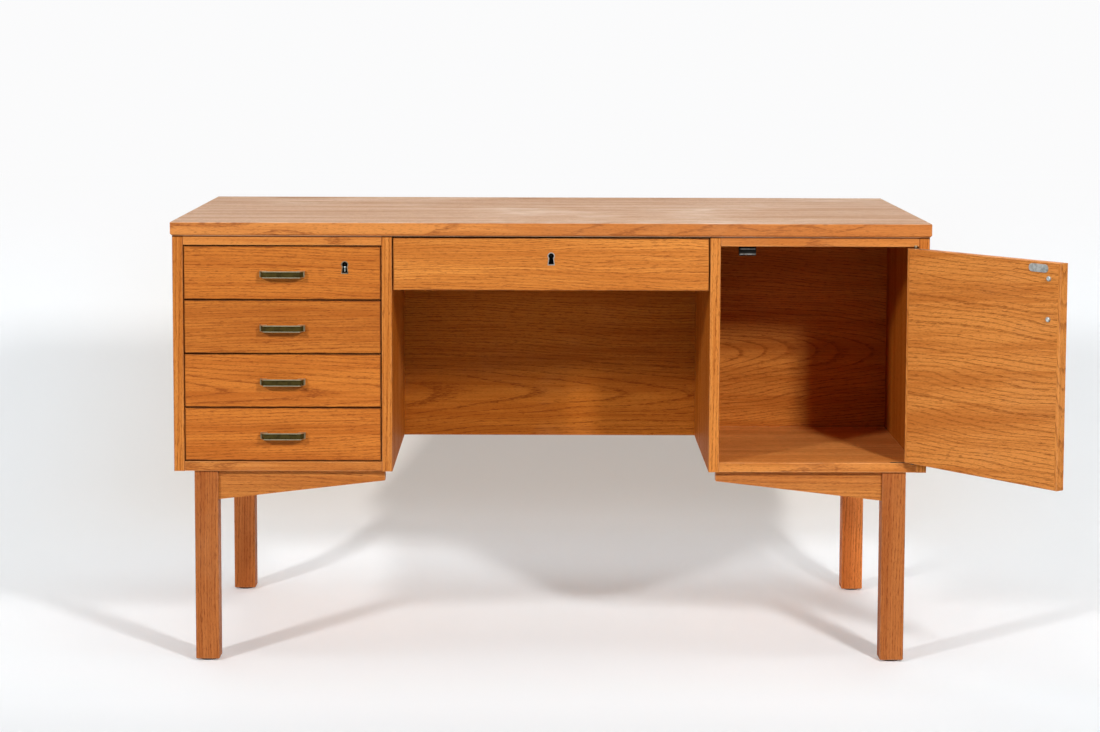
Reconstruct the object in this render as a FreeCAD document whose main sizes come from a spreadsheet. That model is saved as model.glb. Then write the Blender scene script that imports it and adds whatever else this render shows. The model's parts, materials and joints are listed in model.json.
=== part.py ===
import FreeCAD, Part
import os
import Sketcher

# Writing desk: a veneered top on two pedestals, four drawers on the left, a cupboard with a
# pivot-hung door on the right, a wide drawer over the kneehole and two leg frames.
# Axes while it is drawn: X to the right from the desk's middle, Y back from the top's front
# edge, Z up from the floor. All lengths are in millimetres.

SIZES = {
    # Whole desk and top board
    "desk_width": 1260.0,
    "desk_depth": 620.0,
    "desk_height": 740.0,
    "top_thickness": 23.0,
    "top_under_chamfer": 3.5,
    "top_arris": 1.0,
    # Case boards
    "case_end_inset": 3.0,
    "case_front_inset": 2.5,
    "case_back_inset": 2.5,
    "case_height": 393.5,
    "kneehole_width": 527.0,
    "side_thickness": 17.5,
    "upper_panel_thickness": 15.5,
    "lower_panel_thickness": 16.0,
    "panel_setback": 1.5,
    "board_arris": 0.8,
    # Upright panels between the front bays and the rear niches
    "bay_depth": 376.5,
    "divider_thickness": 12.0,
    "divider_housing": 4.0,
    "old_hole_radius": 1.5,
    "old_hole_depth": 4.0,
    "old_hole_side": 39.0,
    "old_hole_drop": 109.5,
    "old_hole_spacing": 24.0,
    # Rear shelves and their pins
    "shelf_rise": 170.0,
    "shelf_thickness": 16.0,
    "shelf_end_gap": 0.7,
    "shelf_back_inset": 4.0,
    "pin_radius": 2.5,
    "pin_depth": 8.0,
    "pin_clearance": 0.1,
    "pin_tab_reach": 8.0,
    "pin_tab_width": 9.0,
    "pin_tab_thickness": 4.0,
    "pin_front_inset": 32.0,
    "pin_back_inset": 36.0,
    # Drawer fronts and boxes
    "front_setback": 1.0,
    "front_thickness": 17.0,
    "front_side_gap": 1.5,
    "front_gap": 2.2,
    "centre_front_height": 86.5,
    "centre_side_gap": 2.0,
    "centre_top_gap": 3.0,
    "box_side_gap": 6.0,
    "box_side_thickness": 10.0,
    "box_back_thickness": 10.0,
    "box_rise": 9.0,
    "box_top_drop": 12.75,
    "centre_box_top_drop": 17.5,
    "box_end_gap": 20.5,
    "box_back_inset": 12.0,
    "box_back_drop": 4.0,
    "box_housing": 4.0,
    "bottom_thickness": 4.0,
    "bottom_rise": 7.0,
    "bottom_housing": 5.0,
    "tail_length": 12.0,
    # Runners in the grooves of the drawer sides
    "runner_height": 11.0,
    "runner_reach": 10.5,
    "runner_front_inset": 18.0,
    "runner_back_gap": 6.0,
    "runner_clearance": 0.3,
    "groove_stop": 0.5,
    # Brass handles
    "handle_length": 75.0,
    "handle_height": 11.0,
    "handle_projection": 17.0,
    "handle_front_length": 62.0,
    "handle_cheek": 4.0,
    "handle_bar": 4.5,
    "handle_foot": 11.0,
    "handle_spacing": 64.0,
    "handle_draft": 2.0,
    "channel_depth": 1.2,
    "handle_rim": 1.7,
    "handle_drop": 1.5,
    # Screws
    "screw_radius": 2.0,
    "screw_clearance": 0.2,
    "screw_head_radius": 4.0,
    "screw_head_height": 2.4,
    "handle_screw_bite": 6.0,
    # Locks and keyholes
    "lock_side": 59.2,
    "lock_case_width": 40.0,
    "lock_case_margin": 1.0,
    "lock_case_thickness": 10.0,
    "lock_case_proud": 2.0,
    "lock_post_radius": 1.6,
    "lock_post_length": 6.5,
    "lock_key_depth": 3.0,
    "bolt_width": 14.0,
    "bolt_thickness": 4.0,
    "bolt_length": 18.0,
    "bolt_throw": 7.5,
    "bolt_clearance": 0.3,
    "bolt_end_clearance": 0.9,
    "key_head_radius": 6.0,
    "key_head_rise": 4.6,
    "key_waist": 8.4,
    "key_foot": 12.0,
    "key_foot_drop": 10.8,
    "escutcheon_wall": 1.4,
    "escutcheon_depth": 5.0,
    "escutcheon_proud": 0.3,
    # Cupboard door, its pivot hinges, strike plate and catch
    "door_gap": 2.0,
    "door_side_gap": 1.5,
    "door_open_angle": 128.0,
    "pivot_inset": 4.0,
    "pivot_set": 1.5,
    "pivot_radius": 1.5,
    "pivot_clearance": 0.08,
    "knuckle_radius": 3.0,
    "leaf_length": 36.0,
    "leaf_width": 10.0,
    "leaf_thickness": 2.5,
    "leaf_clearance": 0.1,
    "strike_length": 39.0,
    "strike_height": 13.0,
    "strike_thickness": 1.2,
    "strike_inset": 44.5,
    "strike_drop": 10.0,
    "door_handle_inset": 23.0,
    "door_handle_drop": 57.5,
    "catch_gap": 0.3,
    "catch_width": 28.0,
    "catch_depth": 14.0,
    "catch_height": 17.0,
    "catch_ear_width": 46.0,
    "catch_ear_depth": 10.0,
    "catch_ear_thickness": 1.8,
    "pole_width": 26.0,
    "pole_thickness": 1.4,
    "pole_proud": 1.2,
    "pole_drop": 5.0,
    "pole_spacing": 8.5,
    # Leg frames
    "leg_width": 39.5,
    "leg_depth": 36.0,
    "leg_end_inset": 35.5,
    "leg_front_inset": 7.0,
    "leg_back_inset": 40.5,
    "leg_edge_radius": 2.0,
    "leg_foot_chamfer": 1.2,
    "glide_height": 3.0,
    "glide_radius": 14.0,
    "rail_thickness": 20.0,
    "rail_setback": 6.5,
    "rail_depth": 50.0,
    "rail_end_depth": 17.5,
    "rail_end_inset": 13.0,
    "tenon_length": 15.0,
    "tenon_thickness": 8.0,
    "tenon_shoulder": 9.0,
    # Overrun of every cut past the face that it opens
    "overrun": 2.0,
}

# Counts, shares of the piece that they shape, and the closeness at which edges are found
TAIL_COUNT = 3
TAIL_ROOT_SHARE = 0.50
TAIL_END_SHARE = 0.66
LOCK_DROP_SHARE = 0.39
DRAWER_COUNT = 4
NEAR = 0.001

DOC = FreeCAD.newDocument("WritingDesk")
SHEET = DOC.addObject("Spreadsheet::Sheet", "Sizes")
for row, (alias, number) in enumerate(SIZES.items(), start=1):
    SHEET.set("A%d" % row, alias)
    SHEET.set("B%d" % row, str(number))
    SHEET.setAlias("B%d" % row, alias)
DOC.recompute()


class Size:
    """A length worked out from the sheet's cells: its value now and its expression."""

    def __init__(self, value, text):
        self.value = value
        self.text = text

    @staticmethod
    def of(other):
        return other if isinstance(other, Size) else Size(float(other), repr(other))

    def joined(self, other, sign, value):
        return Size(value, "(%s %s %s)" % (self.text, sign, Size.of(other).text))

    def __add__(self, other):
        return self.joined(other, "+", self.value + Size.of(other).value)

    def __sub__(self, other):
        return self.joined(other, "-", self.value - Size.of(other).value)

    def __mul__(self, other):
        return self.joined(other, "*", self.value * Size.of(other).value)

    def __truediv__(self, other):
        return self.joined(other, "/", self.value / Size.of(other).value)

    def __neg__(self):
        return self * -1


def cell(name):
    """The size that a cell of the sheet holds."""
    return Size(float(SHEET.get(name)), "Sizes." + name)


ZERO = Size.of(0.0)
OVER = cell("overrun")


def bind(thing, prop, size):
    """Ties one property of an object to a size."""
    thing.setExpression(prop, size.text)


# Axis letters in the order of a vector, and the plane whose normal each is
AXES = "xyz"
PLANE = {"x": "YZ_Plane", "y": "XZ_Plane", "z": "XY_Plane"}
EXTENT = ("Length", "Width", "Height")
# Turn that lays a cylinder's axis along each axis
LAY = {
    "x": FreeCAD.Rotation(FreeCAD.Vector(0, 1, 0), 90),
    "y": FreeCAD.Rotation(FreeCAD.Vector(1, 0, 0), -90),
    "z": FreeCAD.Rotation(),
}
CHANGES = []
NODES = []


class Node:
    """One named piece of the desk, at rest in the desk or in the open door."""

    def __init__(self, thing, label, corner, swings):
        self.thing = thing
        self.label = label
        self.corner = corner
        self.swings = swings
        thing.Label = label
        NODES.append(self)


class Piece:
    """A PartDesign body, drawn in desk coordinates about its own corner."""

    def __init__(self, label, corner, swings=False, node=True):
        self.label = label
        self.corner = corner
        self.made = 0
        self.body = DOC.addObject("PartDesign::Body", label)
        if node:
            Node(self.body, label, corner, swings)
        else:
            self.body.Placement.Base = FreeCAD.Vector(*[size.value for size in corner])

    def feature(self, kind, word):
        self.made += 1
        return self.body.newObject(kind, "%s_%s_%d" % (self.label, word, self.made))

    def plane(self, axis):
        for item in self.body.Origin.OriginFeatures:
            if item.Role == PLANE[axis]:
                return item

    def seat(self, thing, place, turn):
        """Hangs a primitive on the body's own plane at a place in desk coordinates."""
        thing.AttachmentSupport = [(self.plane("z"), "")]
        thing.MapMode = "FlatFace"
        thing.AttachmentOffset = FreeCAD.Placement(FreeCAD.Vector(), turn)
        for axis, size, corner in zip(AXES, place, self.corner):
            bind(thing, "AttachmentOffset.Base." + axis, size - corner)

    def note(self, thing, grows):
        CHANGES.append((self.body, thing, grows))

    def block(self, x, y, z, cut=False):
        """Adds or cuts a block between pairs of sizes along the three axes."""
        kind = "Subtractive" if cut else "Additive"
        thing = self.feature("PartDesign::%sBox" % kind, "cut" if cut else "block")
        for prop, (low, high) in zip(EXTENT, (x, y, z)):
            bind(thing, prop, high - low)
        self.seat(thing, (x[0], y[0], z[0]), LAY["z"])
        self.note(thing, not cut)

    def rod(self, axis, centre, radius, low, high, cut=False):
        """Adds or cuts a cylinder along an axis; centre gives the other two coordinates."""
        kind = "Subtractive" if cut else "Additive"
        thing = self.feature("PartDesign::%sCylinder" % kind, "hole" if cut else "rod")
        bind(thing, "Radius", radius)
        bind(thing, "Height", high - low)
        place = list(centre)
        place.insert(AXES.index(axis), low)
        self.seat(thing, place, LAY[axis])
        self.note(thing, not cut)

    def outlines(self, axis, level, loops):
        """A sketch of closed outlines square to an axis, every corner tied to sizes."""
        sketch = self.feature("Sketcher::SketchObject", "outline")
        sketch.AttachmentSupport = [(self.plane(axis), "")]
        sketch.MapMode = "FlatFace"
        drop = level - self.corner[AXES.index(axis)]
        bind(sketch, "AttachmentOffset.Base.z", -drop if axis == "y" else drop)
        across = [size for key, size in zip(AXES, self.corner) if key != axis]
        for loop in loops:
            first = sketch.GeometryCount
            corners = [(u - across[0], v - across[1]) for u, v in loop]
            ends = corners[1:] + corners[:1]
            for start, end in zip(corners, ends):
                line = Part.LineSegment(
                    FreeCAD.Vector(start[0].value, start[1].value, 0),
                    FreeCAD.Vector(end[0].value, end[1].value, 0),
                )
                sketch.addGeometry(line, False)
            for step, (u, v) in enumerate(corners):
                here = first + step
                following = first + (step + 1) % len(corners)
                sketch.addConstraint(Sketcher.Constraint("Coincident", here, 2, following, 1))
                for kind, size in (("DistanceX", u), ("DistanceY", v)):
                    tie = sketch.addConstraint(Sketcher.Constraint(kind, here, 1, size.value))
                    bind(sketch, "Constraints[%d]" % tie, size)
        return sketch

    def prism(self, axis, low, high, loops, cut=False):
        """Pads or pockets outlines along an axis from one level to another."""
        sketch = self.outlines(axis, low, loops)
        kind = "Pocket" if cut else "Pad"
        thing = self.feature("PartDesign::" + kind, kind.lower())
        thing.Profile = sketch
        bind(thing, "Length", high - low)
        thing.Reversed = (axis == "y") != cut
        sketch.Visibility = False
        self.note(thing, not cut)

    def eased(self, kind, size, along=None, **at):
        """Chamfers or rounds the edges that lie at the given coordinates."""
        DOC.recompute()
        base = self.body.Tip
        names = []
        for number, edge in enumerate(base.Shape.Edges, start=1):
            box = edge.BoundBox
            low = (box.XMin, box.YMin, box.ZMin)
            high = (box.XMax, box.YMax, box.ZMax)
            spread = [b - a for a, b in zip(low, high)]
            if along and sum(spread) - spread[AXES.index(along)] > NEAR:
                continue
            inside = True
            for axis, sizes in at.items():
                place = AXES.index(axis)
                wanted = [(item - self.corner[place]).value for item in sizes]
                inside = inside and any(
                    abs(low[place] - item) < NEAR and abs(high[place] - item) < NEAR
                    for item in wanted
                )
            if inside:
                names.append("Edge%d" % number)
        thing = self.feature("PartDesign::" + kind, kind.lower())
        thing.Base = (base, names)
        bind(thing, "Radius" if kind == "Fillet" else "Size", size)
        self.note(thing, False)


def loose(kind, name):
    """A plain feature outside any body."""
    return DOC.addObject("Part::" + kind, name)


def bar(name, x, y, z):
    """A plain block of its own between pairs of sizes."""
    thing = loose("Box", name)
    for prop, (low, high) in zip(EXTENT, (x, y, z)):
        bind(thing, prop, high - low)
    for axis, (low, high) in zip(AXES, (x, y, z)):
        bind(thing, "Placement.Base." + axis, low)
    return thing


def spindle(name, axis, centre, radius, low, high):
    """A plain cylinder of its own along an axis."""
    thing = loose("Cylinder", name)
    bind(thing, "Radius", radius)
    bind(thing, "Height", high - low)
    place = list(centre)
    place.insert(AXES.index(axis), low)
    thing.Placement = FreeCAD.Placement(FreeCAD.Vector(), LAY[axis])
    for key, size in zip(AXES, place):
        bind(thing, "Placement.Base." + key, size)
    return thing


def fused(name, things):
    """One solid joined from plain pieces."""
    joint = loose("MultiFuse", name)
    joint.Shapes = things
    return joint


def group(label, things, swings=False):
    """One node that holds several alike pieces."""
    whole = loose("Compound", label)
    whole.Links = things
    Node(whole, label, (ZERO, ZERO, ZERO), swings)
    return whole


def screw(name, centre, seat, reach):
    """A screw along Y: its pan head stands on a face at seat, its shank runs forward."""
    return fused(name, [
        spindle(name + "_cap", "y", centre, cell("screw_head_radius"), seat,
                seat + cell("screw_head_height")),
        spindle(name + "_stem", "y", centre, cell("screw_radius"), seat - reach, seat),
    ])


def mirrored(side, near, far):
    """The span between two distances from the middle, on one side of it."""
    return (near, far) if side > 0 else (-far, -near)


def placed(side, distance):
    """A distance from the middle, on one side of it."""
    return distance if side > 0 else -distance


SIDES = (("left", -1), ("right", 1))

# Levels and faces that several pieces share
half_width = cell("desk_width") / 2
outer_face = half_width - cell("case_end_inset")
outer_inside = outer_face - cell("side_thickness")
knee_face = cell("kneehole_width") / 2
inner_inside = knee_face + cell("side_thickness")
case_front = cell("case_front_inset")
case_back = cell("desk_depth") - cell("case_back_inset")
case_top = cell("desk_height") - cell("top_thickness")
case_bottom = case_top - cell("case_height")
bay_top = case_top - cell("upper_panel_thickness")
bay_bottom = case_bottom + cell("lower_panel_thickness")
panel_front = case_front + cell("panel_setback")
panel_back = case_back - cell("panel_setback")
divider_front = case_front + cell("bay_depth")
divider_back = divider_front + cell("divider_thickness")
front_face = case_front + cell("front_setback")
front_back = front_face + cell("front_thickness")
shelf_bottom = bay_bottom + cell("shelf_rise")
pin_rows = (
    divider_back + cell("pin_front_inset"),
    case_back - cell("pin_back_inset"),
)
screw_hole = cell("screw_radius") + cell("screw_clearance")
arris = cell("board_arris")

# Pivot line of the cupboard door and the door's edges when it is shut
door_low = bay_bottom + cell("door_gap")
door_high = bay_top - cell("door_gap")
door_near = inner_inside + cell("door_side_gap")
door_far = outer_inside - cell("door_side_gap")
pivot_x = door_far - cell("pivot_inset")
pivot_y = front_face + cell("pivot_set")
leaf_near = pivot_x - cell("leaf_length")
leaf_far = pivot_x
leaf_front = pivot_y
leaf_back = leaf_front + cell("leaf_width")
strike_x = door_near + cell("strike_inset")
strike_z = door_high - cell("strike_drop")

# Lock places: the top drawer of the left pedestal and the drawer over the kneehole
side_front_top = bay_top - cell("front_gap")
side_lock_x = -(inner_inside + cell("front_side_gap") + cell("lock_side"))
knee_front_top = case_top - cell("centre_top_gap")
lock_back = front_back + cell("lock_case_proud")
lock_front = lock_back - cell("lock_case_thickness")
bolt_middle = (lock_front + lock_back) / 2
bolt_span = (
    bolt_middle - cell("bolt_thickness") / 2,
    bolt_middle + cell("bolt_thickness") / 2,
)


def bolt_slot(piece, x, low, high):
    """Cuts the way of a lock bolt, with clearance all round."""
    slack = cell("bolt_clearance")
    half = cell("bolt_width") / 2 + slack
    y = (bolt_span[0] - slack, bolt_span[1] + slack)
    piece.block((x - half, x + half), y, (low, high), cut=True)


# Top board
top = Piece("desktop", (-half_width, ZERO, case_top))
top.prism("z", case_top, cell("desk_height"), [[
    (-half_width, ZERO),
    (half_width, ZERO),
    (half_width, cell("desk_depth")),
    (-half_width, cell("desk_depth")),
]])
top.eased("Chamfer", cell("top_under_chamfer"), z=[case_top])
top.eased("Chamfer", cell("top_arris"), z=[cell("desk_height")])
bolt_reach = cell("bolt_throw") + cell("bolt_end_clearance")
bolt_slot(top, ZERO, case_top - OVER, knee_front_top + bolt_reach)

# Pedestal sides, housed for the upright panels and bored for the shelf pins
pin_z = shelf_bottom - cell("pin_tab_thickness") / 2
for name, side in SIDES:
    for where, near, far, bay in (
        ("outer", outer_inside, outer_face, outer_inside),
        ("inner", knee_face, inner_inside, inner_inside),
    ):
        x = mirrored(side, near, far)
        board = Piece("side_%s_%s" % (where, name), (x[0], case_front, case_bottom))
        board.block(x, (case_front, case_back), (case_bottom, case_top))
        board.eased("Chamfer", arris, along="z", y=[case_front, case_back])
        deep = cell("divider_housing")
        span = (bay, bay + deep) if where == "outer" else (bay - deep, bay)
        grooves = [(mirrored(side, *span), bay_bottom, bay_top)]
        if where == "inner":
            grooves.append((mirrored(side, knee_face, knee_face + deep), case_bottom, case_top))
        for reach, low, high in grooves:
            board.block(reach, (divider_front, divider_back), (low, high), cut=True)
        hole = cell("pin_radius") + cell("pin_clearance")
        bore = cell("pin_depth") + cell("pin_clearance")
        span = (bay, bay + bore) if where == "outer" else (bay - bore, bay)
        for y in pin_rows:
            board.rod("x", (y, pin_z), hole, *mirrored(side, *span), cut=True)

# Upper and lower panels of the pedestals
for name, side in SIDES:
    x = mirrored(side, inner_inside, outer_inside)
    y = (panel_front, panel_back)
    upper = Piece("panel_upper_" + name, (x[0], panel_front, bay_top))
    upper.block(x, y, (bay_top, case_top))
    upper.eased("Chamfer", arris, along="x", y=[panel_front, panel_back])
    lower = Piece("panel_lower_" + name, (x[0], panel_front, case_bottom))
    lower.block(x, y, (case_bottom, bay_bottom))
    lower.eased("Chamfer", arris, along="x", y=[panel_front, panel_back])
    slack = cell("leaf_clearance")
    if side < 0:
        bolt_slot(upper, side_lock_x, bay_top - OVER, side_front_top + bolt_reach)
        continue
    for board, low, high in (
        (upper, bay_top - OVER, bay_top + cell("leaf_thickness")),
        (lower, bay_bottom - cell("leaf_thickness"), bay_bottom + OVER),
    ):
        board.block((leaf_near - slack, outer_inside + OVER),
                    (leaf_front - slack, leaf_back + slack), (low, high), cut=True)
        board.rod("z", (pivot_x, pivot_y), cell("knuckle_radius") + slack, low, high, cut=True)

# Upright panels: two behind the bays and one at the back of the kneehole
for name, side in SIDES:
    x = mirrored(side, inner_inside - cell("divider_housing"),
                 outer_inside + cell("divider_housing"))
    panel = Piece("divider_" + name, (x[0], divider_front, bay_bottom))
    panel.block(x, (divider_front, divider_back), (bay_bottom, bay_top))
    if side > 0:
        for step in range(2):
            z = bay_top - cell("old_hole_drop") - cell("old_hole_spacing") * step
            panel.rod("y", (outer_inside - cell("old_hole_side"), z), cell("old_hole_radius"),
                      divider_front - OVER, divider_front + cell("old_hole_depth"), cut=True)
housed_face = knee_face + cell("divider_housing")
modesty = Piece("modesty_panel", (-housed_face, divider_front, case_bottom))
modesty.block((-housed_face, housed_face), (divider_front, divider_back),
              (case_bottom, case_top))

# Rear shelves on flat-topped pins
pins = []
for name, side in SIDES:
    end_gap = cell("shelf_end_gap")
    x = mirrored(side, inner_inside + end_gap, outer_inside - end_gap)
    y = (divider_back + end_gap, case_back - cell("shelf_back_inset"))
    shelf = Piece("rear_shelf_" + name, (x[0], y[0], shelf_bottom))
    shelf.block(x, y, (shelf_bottom, shelf_bottom + cell("shelf_thickness")))
    shelf.eased("Chamfer", arris, along="x", y=[y[1]])
    tab_low = shelf_bottom - cell("pin_tab_thickness")
    half = cell("pin_tab_width") / 2
    for where, wall, into in (("outer", outer_inside, -1), ("inner", inner_inside, 1)):
        for number, row in enumerate(pin_rows, start=1):
            stem = sorted((wall, wall - cell("pin_depth") * into), key=lambda size: size.value)
            reach = sorted((wall, wall + cell("pin_tab_reach") * into),
                           key=lambda size: size.value)
            title = "pin_%s_%s_%d" % (name, where, number)
            pins.append(fused(title, [
                spindle(title + "_stem", "x", (row, pin_z), cell("pin_radius"),
                        *mirrored(side, *stem)),
                bar(title + "_tab", mirrored(side, *reach), (row - half, row + half),
                    (tab_low, shelf_bottom)),
            ]))
group("shelf_pins", pins)


def tails(height, low):
    """Corner points of the dovetails on a drawer side's front end, from the bottom up."""
    pitch = height / TAIL_COUNT
    tip = front_back - cell("tail_length")
    for step in range(TAIL_COUNT):
        middle = low + pitch * (step + 0.5)
        root = pitch * TAIL_ROOT_SHARE / 2
        end = pitch * TAIL_END_SHARE / 2
        yield [
            (front_back, middle - root),
            (tip, middle - end),
            (tip, middle + end),
            (front_back, middle + root),
        ]


def keyhole(piece, x, z, wall, low, high, cut):
    """Keyhole shape along Y: a round head over a waist that widens to a flat foot."""
    radius = cell("key_head_radius") - wall
    centre = z + cell("key_head_rise")
    waist = cell("key_waist") / 2 - wall
    foot = cell("key_foot") / 2 - wall
    bottom = z - cell("key_foot_drop") + wall
    piece.rod("y", (x, centre), radius, low, high, cut=cut)
    piece.prism("y", low, high, [[
        (x - waist, centre),
        (x - foot, bottom),
        (x + foot, bottom),
        (x + waist, centre),
    ]], cut=cut)


def handle(label, centre, upright=False, swings=False):
    """A brass bar handle: slanted ends, two feet and a sunk channel along its front."""
    half = cell("handle_length") / 2
    front_half = cell("handle_front_length") / 2
    cheek = cell("handle_cheek")
    reach = cell("handle_projection")
    lean = (half - front_half) / (reach - cheek)
    deep = cell("channel_depth")
    rim = cell("handle_rim")
    inside = half - cell("handle_foot")
    draft = cell("handle_draft")
    tall = cell("handle_height") / 2
    across = centre[1] if upright else centre[0]
    level = centre[0] if upright else centre[1]
    corner = (centre[0], front_face, centre[1])
    piece = Piece(label, corner, swings)
    axis = "x" if upright else "z"

    def shape(points):
        loop = []
        for out, back in points:
            along = across + out
            y = front_face - back
            loop.append((y, along) if upright else (along, y))
        return loop

    piece.prism(axis, level - tall, level + tall, [shape([
        (-half, ZERO), (-half, cheek), (-front_half, reach),
        (front_half, reach), (half, cheek), (half, ZERO),
        (inside, ZERO), (inside - draft, reach - cell("handle_bar")),
        (draft - inside, reach - cell("handle_bar")), (-inside, ZERO),
    ])])
    end = half - deep - lean * rim
    floor = front_half - deep + lean * deep
    piece.prism(axis, level - tall + rim, level + tall - rim, [shape([
        (-half - OVER, cheek + rim), (-end, cheek + rim), (-floor, reach - deep),
        (floor, reach - deep), (end, cheek + rim), (half + OVER, cheek + rim),
        (half + OVER, reach + OVER), (-half - OVER, reach + OVER),
    ])], cut=True)
    return piece


def drawer(label, x, z, side_gap, top_drop, lock_x=None, pull=False):
    """A drawer: front, dovetailed box, bottom and fittings; gives the level of its runners."""
    # The box stands in from the front's ends by the runner gap less the front's own gap
    inset = cell("box_side_gap") - side_gap
    outer = (x[0] + inset, x[1] - inset)
    thick = cell("box_side_thickness")
    inner = (outer[0] + thick, outer[1] - thick)
    low = z[0] + cell("box_rise")
    high = z[1] - top_drop
    box_height = high - low
    back = divider_front - cell("box_end_gap")
    bottom = (low + cell("bottom_rise"), low + cell("bottom_rise") + cell("bottom_thickness"))
    sunk = cell("bottom_housing")
    runner = (low + high - cell("runner_height")) / 2
    rear = (back - cell("box_back_inset") - cell("box_back_thickness"),
            back - cell("box_back_inset"))

    front = Piece(label + "_front", (x[0], front_face, z[0]))
    front.block(x, (front_face, front_back), z)
    front.eased("Chamfer", arris, y=[front_face])
    for span in ((outer[0], inner[0]), (inner[1], outer[1])):
        loops = []
        for tail in tails(box_height, low):
            past = [(front_back + OVER, tail[3][1]), (front_back + OVER, tail[0][1])]
            loops.append(tail + past)
        front.prism("x", span[0], span[1], loops, cut=True)
    front.block((inner[0] - sunk, inner[1] + sunk), (front_back - sunk, front_back + OVER),
                bottom, cut=True)

    sides = []
    for word, span, face, into in (
        ("near", (outer[0], inner[0]), outer[0], 1),
        ("far", (inner[1], outer[1]), outer[1], -1),
    ):
        board = Piece("%s_side_%s" % (label, word), (span[0], front_back, low), node=False)
        points = [(back, low), (front_back, low)]
        for tail in tails(box_height, low):
            points += tail
        points += [(front_back, high), (back, high)]
        board.prism("x", span[0], span[1], [points])
        slack = cell("runner_clearance")
        reach = cell("runner_reach") - cell("box_side_gap") + slack
        groove = (face, face + reach) if into > 0 else (face - reach, face)
        board.block(groove,
                    (front_back + cell("runner_front_inset") - cell("groove_stop"), back + OVER),
                    (runner - slack, runner + cell("runner_height") + slack), cut=True)
        wall = inner[0] if into > 0 else inner[1]
        housing = (wall - sunk, wall) if into > 0 else (wall, wall + sunk)
        board.block(housing, (front_back - sunk, back + OVER), bottom, cut=True)
        deep = cell("box_housing")
        housing = (wall - deep, wall) if into > 0 else (wall, wall + deep)
        board.block(housing, rear, (bottom[1], high - cell("box_back_drop")), cut=True)
        sides.append(board.body)
    deep = cell("box_housing")
    sides.append(bar(label + "_back", (inner[0] - deep, inner[1] + deep), rear,
                     (bottom[1], high - cell("box_back_drop"))))
    group(label + "_box", sides)

    base = Piece(label + "_bottom", (inner[0] - sunk, front_back - sunk, bottom[0]))
    base.block((inner[0] - sunk, inner[1] + sunk), (front_back - sunk, rear[1]), bottom)

    if pull:
        handle(label + "_handle", ((x[0] + x[1]) / 2, (z[0] + z[1]) / 2 - cell("handle_drop")))

    if lock_x is not None:
        lock(label, front, lock_x, z)
    return runner


def lock(label, front, x, span):
    """A mortised drawer lock with its inset keyhole ring and rising bolt."""
    half = cell("lock_case_width") / 2
    top_edge = span[1]
    z = top_edge - (span[1] - span[0]) * LOCK_DROP_SHARE
    low = z - cell("key_foot_drop") - cell("lock_case_margin")
    ring_end = front_face + cell("escutcheon_depth")
    front.block((x - half, x + half), (lock_front, front_back + OVER), (low, top_edge + OVER),
                cut=True)
    keyhole(front, x, z, ZERO, front_face - OVER, ring_end, cut=True)
    keyhole(front, x, z, cell("escutcheon_wall"), ring_end, lock_front, cut=True)

    proud = front_face - cell("escutcheon_proud")
    ring = Piece(label + "_escutcheon", (x, proud, z), node=False)
    keyhole(ring, x, z, ZERO, proud, ring_end, cut=False)
    keyhole(ring, x, z, cell("escutcheon_wall"), proud, ring_end, cut=True)

    shell = Piece(label + "_lock_case", (x, lock_front, top_edge), node=False)
    shell.block((x - half, x + half), (lock_front, lock_back), (low, top_edge))
    rest = top_edge - cell("bolt_length")
    bolt_slot(shell, x, rest - cell("bolt_clearance"), top_edge + OVER)
    keyhole(shell, x, z, cell("escutcheon_wall"), lock_front,
            lock_front + cell("lock_key_depth"), cut=True)
    shell.rod("y", (x, z + cell("key_head_rise")), cell("lock_post_radius"),
              lock_front - cell("lock_post_length"), lock_front + cell("lock_key_depth"))
    group(label + "_lock", [ring.body, shell.body])

    bolt = Piece(label + "_bolt", (x, bolt_span[0], rest))
    bolt.block((x - cell("bolt_width") / 2, x + cell("bolt_width") / 2), bolt_span,
               (rest, top_edge))


# Four drawers of the left pedestal and the strips that they run on
opening = bay_top - bay_bottom
front_height = (opening - cell("front_gap") * (DRAWER_COUNT + 1)) / DRAWER_COUNT
runner_span = (front_back + cell("runner_front_inset"), divider_front - cell("runner_back_gap"))
strips = []
for number in range(1, DRAWER_COUNT + 1):
    gap = cell("front_side_gap")
    x = mirrored(-1, inner_inside + gap, outer_inside - gap)
    high = bay_top - cell("front_gap") * number - front_height * (number - 1)
    rise = drawer("drawer_%d" % number, x, (high - front_height, high), gap,
                  cell("box_top_drop"), lock_x=side_lock_x if number == 1 else None, pull=True)
    z = (rise, rise + cell("runner_height"))
    reach = cell("runner_reach")
    for word, span in (
        ("near", (-outer_inside, -outer_inside + reach)),
        ("far", (-inner_inside - reach, -inner_inside)),
    ):
        strips.append(bar("runner_%d_%s" % (number, word), span, runner_span, z))
group("runners_left", strips)

# Wide drawer over the kneehole
gap = cell("centre_side_gap")
x = (gap - knee_face, knee_face - gap)
rise = drawer("drawer_centre", x, (knee_front_top - cell("centre_front_height"), knee_front_top),
              gap, cell("centre_box_top_drop"), lock_x=ZERO)
z = (rise, rise + cell("runner_height"))
reach = cell("runner_reach")
strips = []
for word, span in (
    ("near", (-knee_face, -knee_face + reach)),
    ("far", (knee_face - reach, knee_face)),
):
    strips.append(bar("runner_centre_" + word, span, runner_span, z))
group("runners_centre", strips)

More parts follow.
